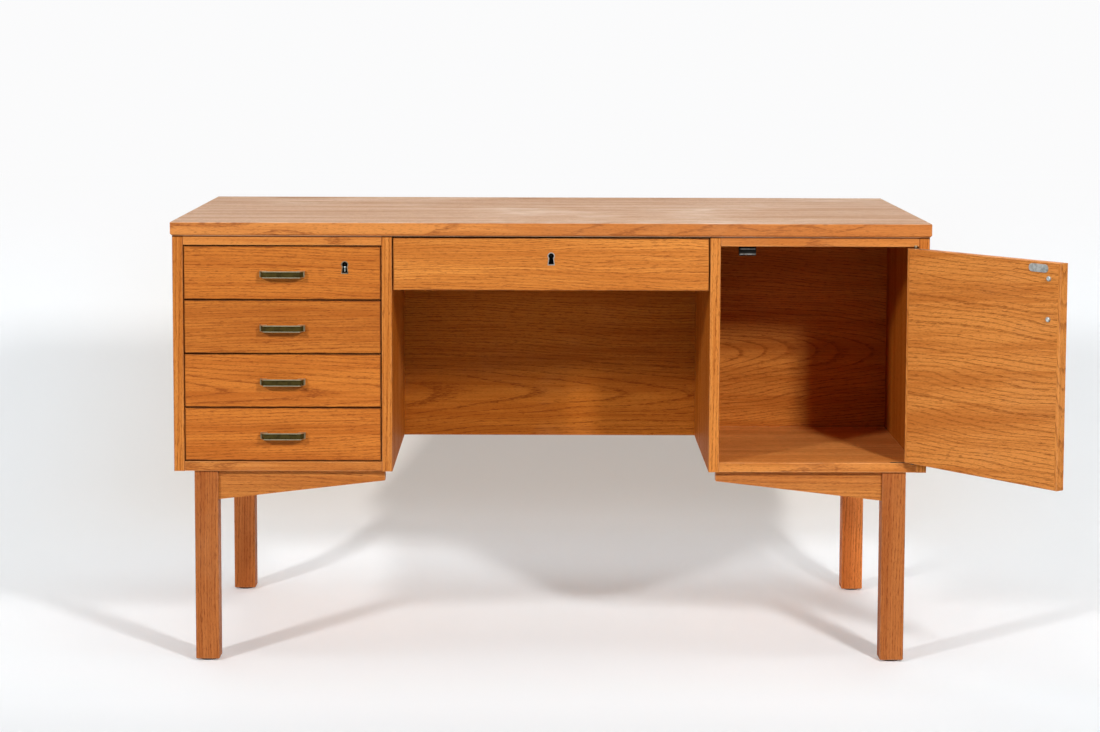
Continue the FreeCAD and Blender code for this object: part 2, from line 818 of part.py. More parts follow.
# Cupboard door, drawn shut
door = Piece("door_panel", (door_near, front_face, door_low), swings=True)
door.block((door_near, door_far), (front_face, front_back), (door_low, door_high))
door.eased("Chamfer", arris, y=[front_face, front_back])
slack = cell("leaf_clearance")
for low, high in (
    (door_high - cell("leaf_thickness"), door_high + OVER),
    (door_low - OVER, door_low + cell("leaf_thickness")),
):
    door.block((leaf_near - slack, door_far + OVER), (leaf_front - slack, leaf_back + slack),
               (low, high), cut=True)
    door.rod("z", (pivot_x, pivot_y), cell("knuckle_radius") + slack, low, high, cut=True)

# The door's handle and the two screws that come through from its inner face
pull_x = door_near + cell("door_handle_inset")
pull_z = door_high - cell("door_handle_drop")
pull = handle("door_handle", (pull_x, pull_z), upright=True, swings=True)
reach = cell("front_thickness") + cell("handle_screw_bite")
things = []
for word, step in (("lower", -1), ("upper", 1)):
    place = (pull_x, pull_z + cell("handle_spacing") / 2 * step)
    things.append(screw("door_handle_screw_" + word, place, front_back, reach))
    door.rod("y", place, screw_hole, front_face - OVER, front_back + OVER, cut=True)
    pull.rod("y", place, screw_hole,
             front_back - reach - cell("screw_clearance"), front_face, cut=True)
group("door_handle_screws", things, swings=True)

# Strike plate with round ends
strike_back = front_back + cell("strike_thickness")
round_end = cell("strike_height") / 2
straight = cell("strike_length") / 2 - round_end
strike = Piece("strike_plate", (strike_x, front_back, strike_z), swings=True)
strike.block((strike_x - straight, strike_x + straight), (front_back, strike_back),
             (strike_z - round_end, strike_z + round_end))
for step in (-1, 1):
    strike.rod("y", (strike_x + straight * step, strike_z), round_end, front_back, strike_back)


def leaf(title, low, high, drilled):
    """One hinge leaf, flush in its board: a straight plate that ends in a knuckle."""
    plate = Piece(title, (pivot_x, pivot_y, low), node=False)
    plate.block((leaf_near, leaf_far), (leaf_front, leaf_back), (low, high))
    plate.rod("z", (pivot_x, pivot_y), cell("knuckle_radius"), low, high)
    if drilled:
        plate.rod("z", (pivot_x, pivot_y), cell("pivot_radius") + cell("pivot_clearance"),
                  low, high, cut=True)
    return plate


thick = cell("leaf_thickness")
lap = thick - cell("leaf_clearance")
upper_case = leaf("leaf_case_upper", bay_top, bay_top + thick, drilled=False)
upper_case.rod("z", (pivot_x, pivot_y), cell("pivot_radius"), door_high - lap, bay_top)
lower_case = leaf("leaf_case_lower", bay_bottom - thick, bay_bottom, drilled=False)
lower_case.rod("z", (pivot_x, pivot_y), cell("knuckle_radius"), bay_bottom,
               door_low - cell("leaf_clearance"))
lower_case.rod("z", (pivot_x, pivot_y), cell("pivot_radius"), bay_bottom, door_low + lap)
group("hinge_leaves_case", [upper_case.body, lower_case.body])
upper_door = leaf("leaf_door_upper", door_high - thick, door_high, drilled=True)
lower_door = leaf("leaf_door_lower", door_low, door_low + thick, drilled=True)
group("hinge_leaves_door", [upper_door.body, lower_door.body], swings=True)

# Magnetic catch under the upper panel of the cupboard
pole_face = strike_back + cell("catch_gap")
catch_face = pole_face + cell("pole_proud")
catch_back = catch_face + cell("catch_depth")
catch_low = bay_top - cell("catch_height")
half = cell("catch_width") / 2
catch = Piece("catch_housing", (strike_x, catch_face, bay_top), node=False)
catch.block((strike_x - half, strike_x + half), (catch_face, catch_back), (catch_low, bay_top))
ear = cell("catch_ear_width") / 2
ear_span = (catch_back - cell("catch_ear_depth"), catch_back)
ear_low = bay_top - cell("catch_ear_thickness")
catch.block((strike_x - ear, strike_x + ear), ear_span, (ear_low, bay_top))
poles = []
for number in range(2):
    high = bay_top - cell("pole_drop") - cell("pole_spacing") * number
    x = (strike_x - cell("pole_width") / 2, strike_x + cell("pole_width") / 2)
    z = (high - cell("pole_thickness"), high)
    y = (pole_face, catch_back - cell("pole_proud"))
    catch.block(x, (catch_face - OVER, y[1]), z, cut=True)
    poles.append(bar("catch_pole_%d" % (number + 1), x, y, z))
group("magnetic_catch", [catch.body] + poles)

# Legs, their rails and the glides under them
leg_outer = outer_face + cell("case_end_inset") - cell("leg_end_inset")
leg_inner = leg_outer - cell("leg_width")
leg_rows = {
    "front": (case_front + cell("leg_front_inset"),
              case_front + cell("leg_front_inset") + cell("leg_depth")),
    "rear": (case_back - cell("leg_back_inset") - cell("leg_depth"),
             case_back - cell("leg_back_inset")),
}
rail_rows = {
    "front": (leg_rows["front"][0] + cell("rail_setback"),
              leg_rows["front"][0] + cell("rail_setback") + cell("rail_thickness")),
    "rear": (leg_rows["rear"][1] - cell("rail_setback") - cell("rail_thickness"),
             leg_rows["rear"][1] - cell("rail_setback")),
}
rail_end = knee_face + cell("rail_end_inset")
rail_low = case_bottom - cell("rail_depth")
leg_middle = (leg_outer + leg_inner) / 2
leg_foot = cell("glide_height")
side_rail = (leg_middle - cell("rail_thickness") / 2, leg_middle + cell("rail_thickness") / 2)
tenon_half = cell("tenon_thickness") / 2
tenon_z = (rail_low + cell("tenon_shoulder"), case_bottom - cell("tenon_shoulder"))
tenon = cell("tenon_length")
glides = []
for name, side in SIDES:
    rails = []
    for row, y in leg_rows.items():
        rail_y = rail_rows[row]
        rail_middle = (rail_y[0] + rail_y[1]) / 2
        cross = (rail_middle - tenon_half, rail_middle + tenon_half)
        along = (leg_middle - tenon_half, leg_middle + tenon_half)
        inward = (y[1] - tenon, y[1]) if row == "front" else (y[0], y[0] + tenon)
        x = mirrored(side, leg_inner, leg_outer)
        leg = Piece("leg_%s_%s" % (row, name), (x[0], y[0], leg_foot))
        leg.block(x, y, (leg_foot, case_bottom))
        leg.eased("Fillet", cell("leg_edge_radius"), along="z")
        leg.eased("Chamfer", cell("leg_foot_chamfer"), z=[leg_foot])
        leg.block(mirrored(side, leg_inner, leg_inner + tenon), cross, tenon_z, cut=True)
        leg.block(mirrored(side, *along), inward, tenon_z, cut=True)
        foot = (placed(side, leg_middle), (y[0] + y[1]) / 2)
        glides.append(spindle("glide_%s_%s" % (row, name), "z", foot, cell("glide_radius"),
                              ZERO, leg_foot))

        rail = Piece("rail_%s_%s" % (row, name), (placed(side, rail_end), rail_y[0], rail_low),
                     node=False)
        rail.prism("y", rail_y[0], rail_y[1], [[
            (placed(side, leg_inner), case_bottom),
            (placed(side, rail_end), case_bottom),
            (placed(side, rail_end), case_bottom - cell("rail_end_depth")),
            (placed(side, leg_inner), rail_low),
        ]])
        rail.block(mirrored(side, leg_inner, leg_inner + tenon), cross, tenon_z)
        rails.append(rail.body)

    span = (leg_rows["front"][1], leg_rows["rear"][0])
    long_rail = Piece("rail_side_" + name, (mirrored(side, *side_rail)[0], span[0], rail_low),
                      node=False)
    long_rail.block(mirrored(side, *side_rail), span, (rail_low, case_bottom))
    long_rail.block(mirrored(side, leg_middle - tenon_half, leg_middle + tenon_half),
                    (span[0] - tenon, span[1] + tenon), tenon_z)
    rails.append(long_rail.body)
    group("leg_rails_" + name, rails)
group("glides", glides)

DOC.recompute()

# Pieces in their places, with the door open about its pivot
pivot = FreeCAD.Vector(pivot_x.value, pivot_y.value, 0)
turn = FreeCAD.Rotation(FreeCAD.Vector(0, 0, 1), cell("door_open_angle").value)
swing = FreeCAD.Placement(FreeCAD.Vector(), turn, pivot)
for node in NODES:
    base = FreeCAD.Vector(*[size.value for size in node.corner])
    place = FreeCAD.Placement(base, FreeCAD.Rotation())
    node.thing.Placement = swing.multiply(place) if node.swings else place
DOC.recompute()

# The frame's origin: the middle of the whole desk's bounding box, on the floor
bounds = FreeCAD.BoundBox()
for node in NODES:
    bounds.add(node.thing.Shape.optimalBoundingBox())
shift = FreeCAD.Vector(-bounds.Center.x, -bounds.Center.y, -bounds.ZMin)
for node in NODES:
    node.thing.Placement.Base += shift
DOC.recompute()
print("bounds", bounds)
print("shift", shift, "pivot", pivot + shift)

# Every object is sound, every cut takes material away and every addition adds some
for thing in DOC.Objects:
    broken = [word for word in thing.State if word in ("Invalid", "Error")]
    if broken:
        raise RuntimeError("%s is %s" % (thing.Label, broken))
for body, thing, grows in CHANGES:
    before = thing.BaseFeature.Shape.Volume if thing.BaseFeature else 0
    if (thing.Shape.Volume > before) != grows or thing.Shape.Volume == before:
        raise RuntimeError("%s does not change its body" % thing.Label)

os.makedirs("parts", exist_ok=True)
for node in NODES:
    shape = node.thing.Shape
    if shape.isNull() or not shape.isValid() or not shape.Solids:
        raise RuntimeError("%s has no sound shape" % node.label)
    shape.exportStep("parts/%s.step" % node.label)
print("nodes", len(NODES), "solids", sum(len(node.thing.Shape.Solids) for node in NODES))
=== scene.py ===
"""Looks of the writing desk: oiled oak boards, aged brass pulls and a pale photo studio.

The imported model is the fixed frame. Every wooden node gets its own oak, cut along its own
grain, and the fittings get metal and plastic finishes. All lengths are metres.
"""

import json
import logging
import math
from dataclasses import dataclass, field
from enum import Enum

import bpy
import numpy as np
from mathutils import Matrix, Vector

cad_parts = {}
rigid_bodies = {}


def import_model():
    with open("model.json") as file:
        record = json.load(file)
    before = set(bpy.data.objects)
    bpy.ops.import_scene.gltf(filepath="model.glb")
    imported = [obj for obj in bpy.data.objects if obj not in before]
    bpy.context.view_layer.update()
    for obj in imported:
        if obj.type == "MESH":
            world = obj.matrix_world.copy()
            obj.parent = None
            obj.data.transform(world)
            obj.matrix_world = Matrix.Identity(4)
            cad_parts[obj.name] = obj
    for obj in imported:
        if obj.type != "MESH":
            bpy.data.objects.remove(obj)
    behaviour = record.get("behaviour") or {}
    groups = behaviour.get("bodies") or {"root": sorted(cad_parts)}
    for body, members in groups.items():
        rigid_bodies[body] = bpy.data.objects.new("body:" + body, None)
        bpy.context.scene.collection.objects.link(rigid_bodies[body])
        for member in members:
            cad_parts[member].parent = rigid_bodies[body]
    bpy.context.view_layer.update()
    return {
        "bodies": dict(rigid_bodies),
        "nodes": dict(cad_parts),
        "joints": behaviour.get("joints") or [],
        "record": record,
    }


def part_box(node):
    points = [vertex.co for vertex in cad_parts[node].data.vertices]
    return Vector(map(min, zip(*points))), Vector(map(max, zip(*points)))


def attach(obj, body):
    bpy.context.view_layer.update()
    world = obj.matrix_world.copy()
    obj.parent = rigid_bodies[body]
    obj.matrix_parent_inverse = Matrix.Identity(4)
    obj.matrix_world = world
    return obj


LOG = logging.getLogger("desk")
FRAME: dict = {}

OPEN_ANGLE = 128.0
OPEN_TURN = Matrix.Rotation(math.radians(OPEN_ANGLE), 3, "Z")
DRAWER_NUMBERS = (1, 2, 3, 4)
SIDES = ("left", "right")

Colour = tuple[float, float, float]
Point = tuple[float, float, float]


class Grain(Enum):
    """The way a board's grain runs in the desk."""

    ALONG = "along X"
    BACK = "along Y"
    UP = "along Z"


class Facing(Enum):
    """The way a board's broad face looks."""

    FRONT = "along Y"
    SIDE = "along X"
    LEVEL = "along Z"


AXES = {
    Grain.ALONG: Vector((1, 0, 0)),
    Grain.BACK: Vector((0, 1, 0)),
    Grain.UP: Vector((0, 0, 1)),
    Facing.FRONT: Vector((0, 1, 0)),
    Facing.SIDE: Vector((1, 0, 0)),
    Facing.LEVEL: Vector((0, 0, 1)),
}


@dataclass(frozen=True)
class Noise:
    """Smooth noise, drawn out along a board's grain or a metal's brush lines.

    Attributes:
        along: Cycles per metre along it.
        across: Cycles per metre across it.
        detail: Octaves of finer noise.
        rough: Strength of each finer octave.
    """

    along: float
    across: float
    detail: float = 2.0
    rough: float = 0.5


SLOW_WANDER = Noise(2.2, 9.0)
QUICK_WANDER = Noise(10.0, 75.0, 3.0, 0.6)
RING_JITTER = Noise(75.0, 1.0)
COARSE_PORES = Noise(70.0, 620.0, 2.0, 0.6)
FINE_PORES = Noise(150.0, 1500.0, 1.0)
TONE_BANDS = Noise(1.7, 30.0)
TONE_STREAKS = Noise(5.0, 240.0, 3.0, 0.65)
FLECKS = Noise(95.0, 620.0, 1.0)
PATCHY_ARRIS = Noise(35.0, 35.0, 3.0, 0.6)
BROAD_WEAR = Noise(3.1, 4.3, 4.0, 0.6)
FINE_WEAR = Noise(28.0, 36.0)
LONG_SCRATCHES = Noise(14.0, 900.0, 0.0)
CROSS_SCRATCHES = Noise(700.0, 22.0, 0.0)
PALE_STREAKS = Noise(16.0, 60.0, 4.0, 0.65)
TARNISH = Noise(90.0, 140.0, 5.0, 0.65)
BRUSH_LINES = Noise(60.0, 2600.0)
PLASTIC_SPECKS = Noise(1800.0, 1800.0)
PLASTIC_CLOUDS = Noise(120.0, 120.0, 3.0)


@dataclass
class Graph:
    """Short ways to add and join nodes in one node tree.

    Attributes:
        tree: The node tree.
    """

    tree: bpy.types.NodeTree

    def node(self, kind: str, **settings: object) -> bpy.types.Node:
        """Adds a node.

        Args:
            kind: The node's type name.
            settings: Properties of the node to set.

        Returns:
            The new node.
        """
        made = self.tree.nodes.new(kind)
        for name, value in settings.items():
            setattr(made, name, value)
        return made

    def put(self, socket: bpy.types.NodeSocket, value: object) -> None:
        """Feeds an input socket from another socket or with a constant.

        Args:
            socket: The input socket.
            value: A socket to link, or a number, vector or colour.
        """
        if isinstance(value, bpy.types.NodeSocket):
            self.tree.links.new(value, socket)
        elif socket.type == "RGBA":
            socket.default_value = (*value, 1.0)
        else:
            socket.default_value = value

    def feed(self, node: bpy.types.Node, values: dict[str, object]) -> None:
        """Feeds several inputs of a node, told by their names."""
        for name, value in values.items():
            self.put(node.inputs[name], value)

    def first_output(self, node: bpy.types.Node, *values: object) -> bpy.types.NodeSocket:
        """Feeds a node's first inputs in their order.

        Args:
            node: The node.
            values: Sockets or constants.

        Returns:
            The node's first output.
        """
        for socket, value in zip(node.inputs, values):
            self.put(socket, value)
        return node.outputs[0]

    def math(self, operation: str, *values: object) -> bpy.types.NodeSocket:
        """Works out one to three values with a Math node's operation."""
        return self.first_output(self.node("ShaderNodeMath", operation=operation), *values)

    def multiply(self, first: object, second: object) -> bpy.types.NodeSocket:
        """The product of two values."""
        return self.math("MULTIPLY", first, second)

    def multiply_add(self, value: object, factor: object, rest: object) -> bpy.types.NodeSocket:
        """A value times a factor, plus the rest."""
        return self.math("MULTIPLY_ADD", value, factor, rest)

    def unsigned(self, value: object) -> bpy.types.NodeSocket:
        """A value with its sign dropped."""
        return self.math("ABSOLUTE", value)

    def vector(self, operation: str, *values: object) -> bpy.types.NodeSocket:
        """Works out a vector with a Vector Math node's operation."""
        return self.first_output(self.node("ShaderNodeVectorMath", operation=operation), *values)

    def length(self, place: object) -> bpy.types.NodeSocket:
        """The length of a vector.

        Args:
            place: The vector's socket.

        Returns:
            The length's socket.
        """
        made = self.node("ShaderNodeVectorMath", operation="LENGTH")
        self.put(made.inputs[0], place)
        return made.outputs["Value"]

    def split(self, place: object) -> list[bpy.types.NodeSocket]:
        """Takes a vector apart.

        Args:
            place: The vector's socket.

        Returns:
            Sockets of its three coordinates.
        """
        made = self.node("ShaderNodeSeparateXYZ")
        self.put(made.inputs[0], place)
        return list(made.outputs)

    def join(self, *values: object) -> bpy.types.NodeSocket:
        """A vector put together from three values."""
        return self.first_output(self.node("ShaderNodeCombineXYZ"), *values)

    def here(self) -> bpy.types.NodeSocket:
        """Object coordinates, which are those of the desk."""
        return self.node("ShaderNodeTexCoord").outputs["Object"]

    def settled(self, middle: object, turn: object) -> bpy.types.NodeSocket:
        """Object coordinates measured from a place, along turned axes.

        Args:
            middle: The place that becomes zero.
            turn: Turn of the axes, as three angles.

        Returns:
            The coordinates' socket.
        """
        made = self.node("ShaderNodeMapping", vector_type="TEXTURE")
        self.feed(made, {"Vector": self.here(), "Location": middle, "Rotation": turn})
        return made.outputs[0]

    def noise(self, place: object, kind: Noise) -> bpy.types.NodeSocket:
        """Adds smooth noise.

        Args:
            place: The vector's socket, with X along the grain.
            kind: The noise.

        Returns:
            The socket of a value about 0.5, between 0 and 1.
        """
        drawn = self.vector("MULTIPLY", place, (kind.along, kind.across, kind.across))
        made = self.node("ShaderNodeTexNoise")
        self.feed(
            made, {"Vector": drawn, "Scale": 1.0, "Detail": kind.detail, "Roughness": kind.rough}
        )
        return made.outputs["Fac"]

    def fit(
        self, value: object, low: float, high: float, first: float = 0.0, last: float = 1.0
    ) -> bpy.types.NodeSocket:
        """Maps a range smoothly onto another and holds it there.

        Args:
            value: The socket to map.
            low: Value that gives first.
            high: Value that gives last.
            first: Result at low.
            last: Result at high.

        Returns:
            The mapped value's socket.
        """
        made = self.node("ShaderNodeMapRange", interpolation_type="SMOOTHSTEP")
        return self.first_output(made, value, low, high, first, last)

    def blend(self, share: object, first: object, second: object) -> bpy.types.NodeSocket:
        """Mixes two colours.

        Args:
            share: Share of the second colour.
            first: Colour or socket.
            second: Colour or socket.

        Returns:
            The mixed colour's socket.
        """
        made = self.node("ShaderNodeMix", data_type="RGBA")
        for slot, value in ((0, share), (6, first), (7, second)):
            self.put(made.inputs[slot], value)
        return made.outputs[2]

    def choose(self, share: object, first: object, second: object) -> bpy.types.NodeSocket:
        """Mixes two vectors.

        Args:
            share: Share of the second vector.
            first: Vector socket.
            second: Vector socket.

        Returns:
            The mixed vector's socket.
        """
        made = self.node("ShaderNodeMix", data_type="VECTOR")
        for slot, value in ((0, share), (4, first), (5, second)):
            self.put(made.inputs[slot], value)
        return made.outputs[1]

    def effect(self, group: bpy.types.NodeTree, **values: object) -> bpy.types.Node:
        """Places a shader group and feeds its inputs.

        Args:
            group: The group.
            values: What feeds each input.

        Returns:
            The group's node.
        """
        made = self.node("ShaderNodeGroup", node_tree=group)
        self.feed(made, values)
        return made

    def relief(
        self, shader: bpy.types.Node, height: object, strength: float, reach: float
    ) -> None:
        """Gives a shader a fine relief.

        Args:
            shader: The shader's node.
            height: The height's socket, where 1 is the reach.
            strength: Strength of the relief.
            reach: Its full height in metres.
        """
        bump = self.node("ShaderNodeBump")
        self.feed(bump, {"Strength": strength, "Distance": reach, "Height": height})
        self.put(shader.inputs["Normal"], bump.outputs[0])


def new_group(
    name: str, inputs: dict[str, tuple[str, object]], outputs: tuple[str, ...]
) -> tuple[bpy.types.NodeTree, Graph, bpy.types.Node, bpy.types.Node]:
    """Starts a shader node group with named sockets.

    Args:
        name: The group's name.
        inputs: Socket name to its kind, Float or Vector, and default value.
        outputs: Names of the values that it puts out.

    Returns:
        The group, a graph over it, its input node and its output node.
    """
    tree = bpy.data.node_groups.new(name, "ShaderNodeTree")
    for title, (kind, value) in inputs.items():
        socket = tree.interface.new_socket(
            title, in_out="INPUT", socket_type="NodeSocket" + kind
        )
        if value is not None:
            socket.default_value = value
    for title in outputs:
        tree.interface.new_socket(title, in_out="OUTPUT", socket_type="NodeSocketFloat")
    graph = Graph(tree)
    return tree, graph, graph.node("NodeGroupInput"), graph.node("NodeGroupOutput")


def new_material(name: str) -> tuple[bpy.types.Material, Graph, bpy.types.Node]:
    """Starts a material.

    Args:
        name: The material's name.

    Returns:
        The material, a graph over it and its shader's node.
    """
    made = bpy.data.materials.new(name)
    made.use_nodes = True
    return made, Graph(made.node_tree), made.node_tree.nodes["Principled BSDF"]


@dataclass
class Effects:
    """Shader groups that several finishes use, each built once.

    Attributes:
        oak: Growth rings, pores and streaks.
        edges: Arrises in patches, rubbed on most boards and carrying painted shade on the drawer
            fronts.
        wear: Patches rubbed by handling, and scratches.
        patina: Tarnish of old metal.
    """

    oak: bpy.types.NodeTree = field(init=False)
    edges: bpy.types.NodeTree = field(init=False)
    wear: bpy.types.NodeTree = field(init=False)
    patina: bpy.types.NodeTree = field(init=False)

    def __post_init__(self) -> None:
        """Builds the groups."""
        self.oak = self.oak_grain()
        self.edges = self.arris_mask()
        self.wear = self.surface_wear()
        self.patina = self.metal_patina()

    def oak_grain(self) -> bpy.types.NodeTree:
        """Growth rings, pores and streaks of oak.

        The vector's X runs along the grain. Measured from the pith, a ring's number grows
        with the length of (Y plus a slow wander, Z) plus lean times X, so that a flat board
        shows nested arches. Pores are short dashes that crowd in the first part of each ring.

        Returns:
            The node group.
        """
        tree, graph, given, result = new_group(
            "oak_grain",
            {
                "Vector": ("Vector", None),
                "Pith": ("Vector", (0.0, 0.0, 0.0)),
                "Spacing": ("Float", 0.006),
                "Lean": ("Float", 0.09),
                "Wander": ("Float", 0.03),
            },
            ("Tone", "Rings", "Pores", "Flecks"),
        )
        ripple, uneven = 0.0045, 2.2
        ring_start, ring_end = (0.0, 0.08), (0.12, 0.42, 1.0, 0.0)
        coarse_crowd, coarse_range, coarse_part = 0.14, (0.59, 0.69), 0.55
        fine_crowd, fine_range, fine_part = 0.10, (0.57, 0.67), 0.42
        tone_range, fleck_range = (0.39, 0.61), (0.66, 0.78)

        place = given.outputs["Vector"]
        slow = graph.math("SUBTRACT", graph.noise(place, SLOW_WANDER), 0.5)
        quick = graph.math("SUBTRACT", graph.noise(place, QUICK_WANDER), 0.5)
        slow = graph.multiply(slow, given.outputs["Wander"])
        stray = graph.math("ADD", slow, graph.multiply(quick, ripple))
        along, across, deep = graph.split(
            graph.vector("SUBTRACT", place, given.outputs["Pith"])
        )
        side = graph.math("ADD", across, stray)
        level = graph.multiply_add(side, side, graph.multiply(deep, deep))
        radius = graph.multiply_add(along, given.outputs["Lean"], graph.math("SQRT", level))
        turns = graph.math("DIVIDE", radius, given.outputs["Spacing"])
        jitter = graph.noise(graph.join(radius, 0.0, 0.0), RING_JITTER)
        phase = graph.math("FRACT", graph.multiply_add(jitter, uneven, turns))
        early = graph.multiply(graph.fit(phase, *ring_start), graph.fit(phase, *ring_end))

        coarse = graph.multiply_add(early, coarse_crowd, graph.noise(place, COARSE_PORES))
        coarse = graph.multiply(graph.fit(coarse, *coarse_range), coarse_part)
        fine = graph.multiply_add(early, fine_crowd, graph.noise(place, FINE_PORES))
        pores = graph.multiply_add(graph.fit(fine, *fine_range), fine_part, coarse)

        band = graph.multiply(graph.noise(place, TONE_BANDS), 0.5)
        streak = graph.multiply(graph.noise(place, TONE_STREAKS), 0.5)
        tone = graph.fit(graph.math("ADD", band, streak), *tone_range)
        flecks = graph.fit(graph.noise(place, FLECKS), *fleck_range)
        graph.feed(result, {"Tone": tone, "Rings": early, "Pores": pores, "Flecks": flecks})
        return tree

    def arris_mask(self) -> bpy.types.NodeTree:
        """Arrises in patches, near the board's skin in two directions at once: rubbed on most
        boards, painted shade on the drawer fronts.

        Returns:
            The node group.
        """
        tree, graph, given, result = new_group(
            "arris_mask",
            {"Vector": ("Vector", None), "Half": ("Vector", (0.1, 0.1, 0.01))},
            ("Arrises",),
        )
        skin, two_at_once, patches = (0.0003, 0.0028, 1.0, 0.0), (1.1, 1.9), (0.38, 0.62, 0.25)
        place = given.outputs["Vector"]
        inside = graph.vector(
            "SUBTRACT", given.outputs["Half"], graph.vector("ABSOLUTE", place)
        )
        near = [graph.fit(item, *skin) for item in graph.split(inside)]
        total = graph.math("ADD", near[0], graph.math("ADD", near[1], near[2]))
        patchy = graph.fit(graph.noise(place, PATCHY_ARRIS), *patches)
        rubbed = graph.multiply(graph.fit(total, *two_at_once), patchy)
        graph.put(result.inputs["Arrises"], rubbed)
        return tree

    def surface_wear(self) -> bpy.types.NodeTree:
        """Handling wear: broad rubbed patches and fine random scratches.

        Returns:
            The node group.
        """
        tree, graph, given, result = new_group(
            "surface_wear", {"Vector": ("Vector", None)}, ("Patches", "Scratches")
        )
        broad_range, fine_range = (0.52, 0.74), (0.30, 0.75, 0.4)
        long_range, cross_range = (0.74, 0.80), (0.76, 0.82)
        place = given.outputs["Vector"]
        broad = graph.noise(place, BROAD_WEAR)
        fine = graph.fit(graph.noise(place, FINE_WEAR), *fine_range)
        patches = graph.multiply(graph.fit(broad, *broad_range), fine)
        scratches = graph.math(
            "MAXIMUM",
            graph.fit(graph.noise(place, LONG_SCRATCHES), *long_range),
            graph.fit(graph.noise(place, CROSS_SCRATCHES), *cross_range),
        )
        scratches = graph.multiply(scratches, broad)
        graph.feed(result, {"Patches": patches, "Scratches": scratches})
        return tree

    def metal_patina(self) -> bpy.types.NodeTree:
        """Tarnish of old metal: cloudy stains and fine brush lines along X.

        Returns:
            The node group.
        """
        tree, graph, given, result = new_group(
            "metal_patina", {"Vector": ("Vector", None)}, ("Stain", "Brush")
        )
        stain_range = (0.38, 0.68)
        place = given.outputs["Vector"]
        stain = graph.fit(graph.noise(place, TARNISH), *stain_range)
        graph.feed(result, {"Stain": stain, "Brush": graph.noise(place, BRUSH_LINES)})
        return tree


def scaled(colour: Colour, *factors: float) -> Colour:
    """A colour with each channel times a factor of its own, or all times one."""
    steps = factors if len(factors) == 3 else factors * 3
    return tuple(channel * step for channel, step in zip(colour, steps))


@dataclass(frozen=True)
class OakTone:
    """Colour and gloss of one oak finish.

    Attributes:
        base: The wood's mean colour.
        rough: Roughness of the oiled surface.
        rings: Strength of the rings.
        sheen: Level of the mirror-like reflection.
        worn_and_gap_shade: Colour that rubbed patches and arrises go to: lighter wear on most
            finishes, painted shade along the gaps on the drawer fronts.
        wear: Strength of the rubbed patches.
        arris_wear_and_shade: Strength of the rubbing along the arrises, and on the drawer fronts
            of the painted shade there.
        flecks: Strength of the flecks.
        pores: Strength of the pores.
    """

    base: Colour
    rough: float = 0.42
    rings: float = 0.40
    sheen: float = 0.22
    worn_and_gap_shade: Colour = (0.66, 0.36, 0.17)
    wear: float = 0.12
    arris_wear_and_shade: float = 0.22
    flecks: float = 0.25
    pores: float = 0.96

    def pale(self) -> Colour:
        """Colour between the rings."""
        return scaled(self.base, 1.17, 1.26, 1.40)

    def warm(self) -> Colour:
        """Colour of the darker streaks."""
        return scaled(self.base, 0.90, 0.81, 0.70)

    def ring(self) -> Colour:
        """Colour of the first part of each ring."""
        return scaled(self.base, 0.78, 0.66, 0.52)

    def pore(self) -> Colour:
        """Colour in the pores."""
        return scaled(self.base, 0.46, 0.33, 0.24)

    def seam_shade(self) -> Colour:
        """Colour of the painted shade in the seam under the top."""
        return scaled(self.base, 0.10, 0.06, 0.05)


@dataclass(frozen=True)
class Board:
    """One wooden node: where its grain runs and how its figure lies.

    Attributes:
        node: The CAD node's name.
        grain: The way that the grain runs.
        facing: The way that the broad face looks.
        pith: Pith from the board's middle, along the grain, across it and into the face.
        spacing: Distance of the rings.
        lean: How steeply the pith leans in the board.
        wander: How far the rings wander.
        shade: How light the board is against its finish.
        lip: Width of the edge band on its ends.
        turn: Turn about Z of a board that stands open, in degrees.
        pale_streaks: Pale streaky ovals on its face: place along, place across and reach of each.
        seam: Height of the seam over it, under which its faces get a band of painted shade, or 0.
        half: Half its size along, across and into, where that isn't its box's.
        skew: Angle of the grain to the board's length, in degrees.
    """

    node: str
    grain: Grain = Grain.ALONG
    facing: Facing = Facing.LEVEL
    pith: Point = (0.0, 0.35, 0.02)
    spacing: float = 0.0050
    lean: float = 0.02
    wander: float = 0.03
    shade: float = 1.0
    lip: float = 0.0006
    turn: float = 0.0
    pale_streaks: tuple[Point, ...] = ()
    seam: float = 0.0
    half: Point | None = None
    skew: float = 0.0

    def place(self) -> tuple[Vector, tuple[float, float, float], Point]:
        """Where the board lies.

        Returns:
            Its middle, the turn of its own axes and half its size along them.
        """
        low, high = (Vector(corner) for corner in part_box(self.node))
        along = AXES[self.grain]
        into = AXES[self.facing]
        across = into.cross(along)
        axes = Matrix((along, across, into)).transposed()
        turned = Matrix.Rotation(math.radians(self.turn), 3, "Z") @ axes
        reach = (high - low) / 2
        half = self.half or tuple(abs(axis.dot(reach)) for axis in (along, across, into))
        return (low + high) / 2, tuple(turned.to_euler()), half

    def shift(self) -> Vector:
        """A shift of its figure, worked out from its name so that no two boards match.

        Returns:
            The shift along the grain, across it and into the face.
        """
        per_name_length, per_letter, most = 1.37, 0.113, 29.0
        across, into = 0.31, 0.17
        letters = sum(map(ord, self.node))
        along = (len(self.node) * per_name_length + letters * per_letter) % most
        return Vector((along, along * across, along * into))


@dataclass(frozen=True)
class Figure:
    """What the shader groups put out for one board.

    Attributes:
        graph: The material's graph.
        own: Coordinates along the board's own axes.
        shifted: The same with the skew of the grain and the board's own shift.
        grain: Node of the grain group.
        wear: Node of the wear group.
        edges: Node of the edge group.
    """

    graph: Graph
    own: bpy.types.NodeSocket
    shifted: bpy.types.NodeSocket
    grain: bpy.types.Node
    wear: bpy.types.Node
    edges: bpy.types.Node


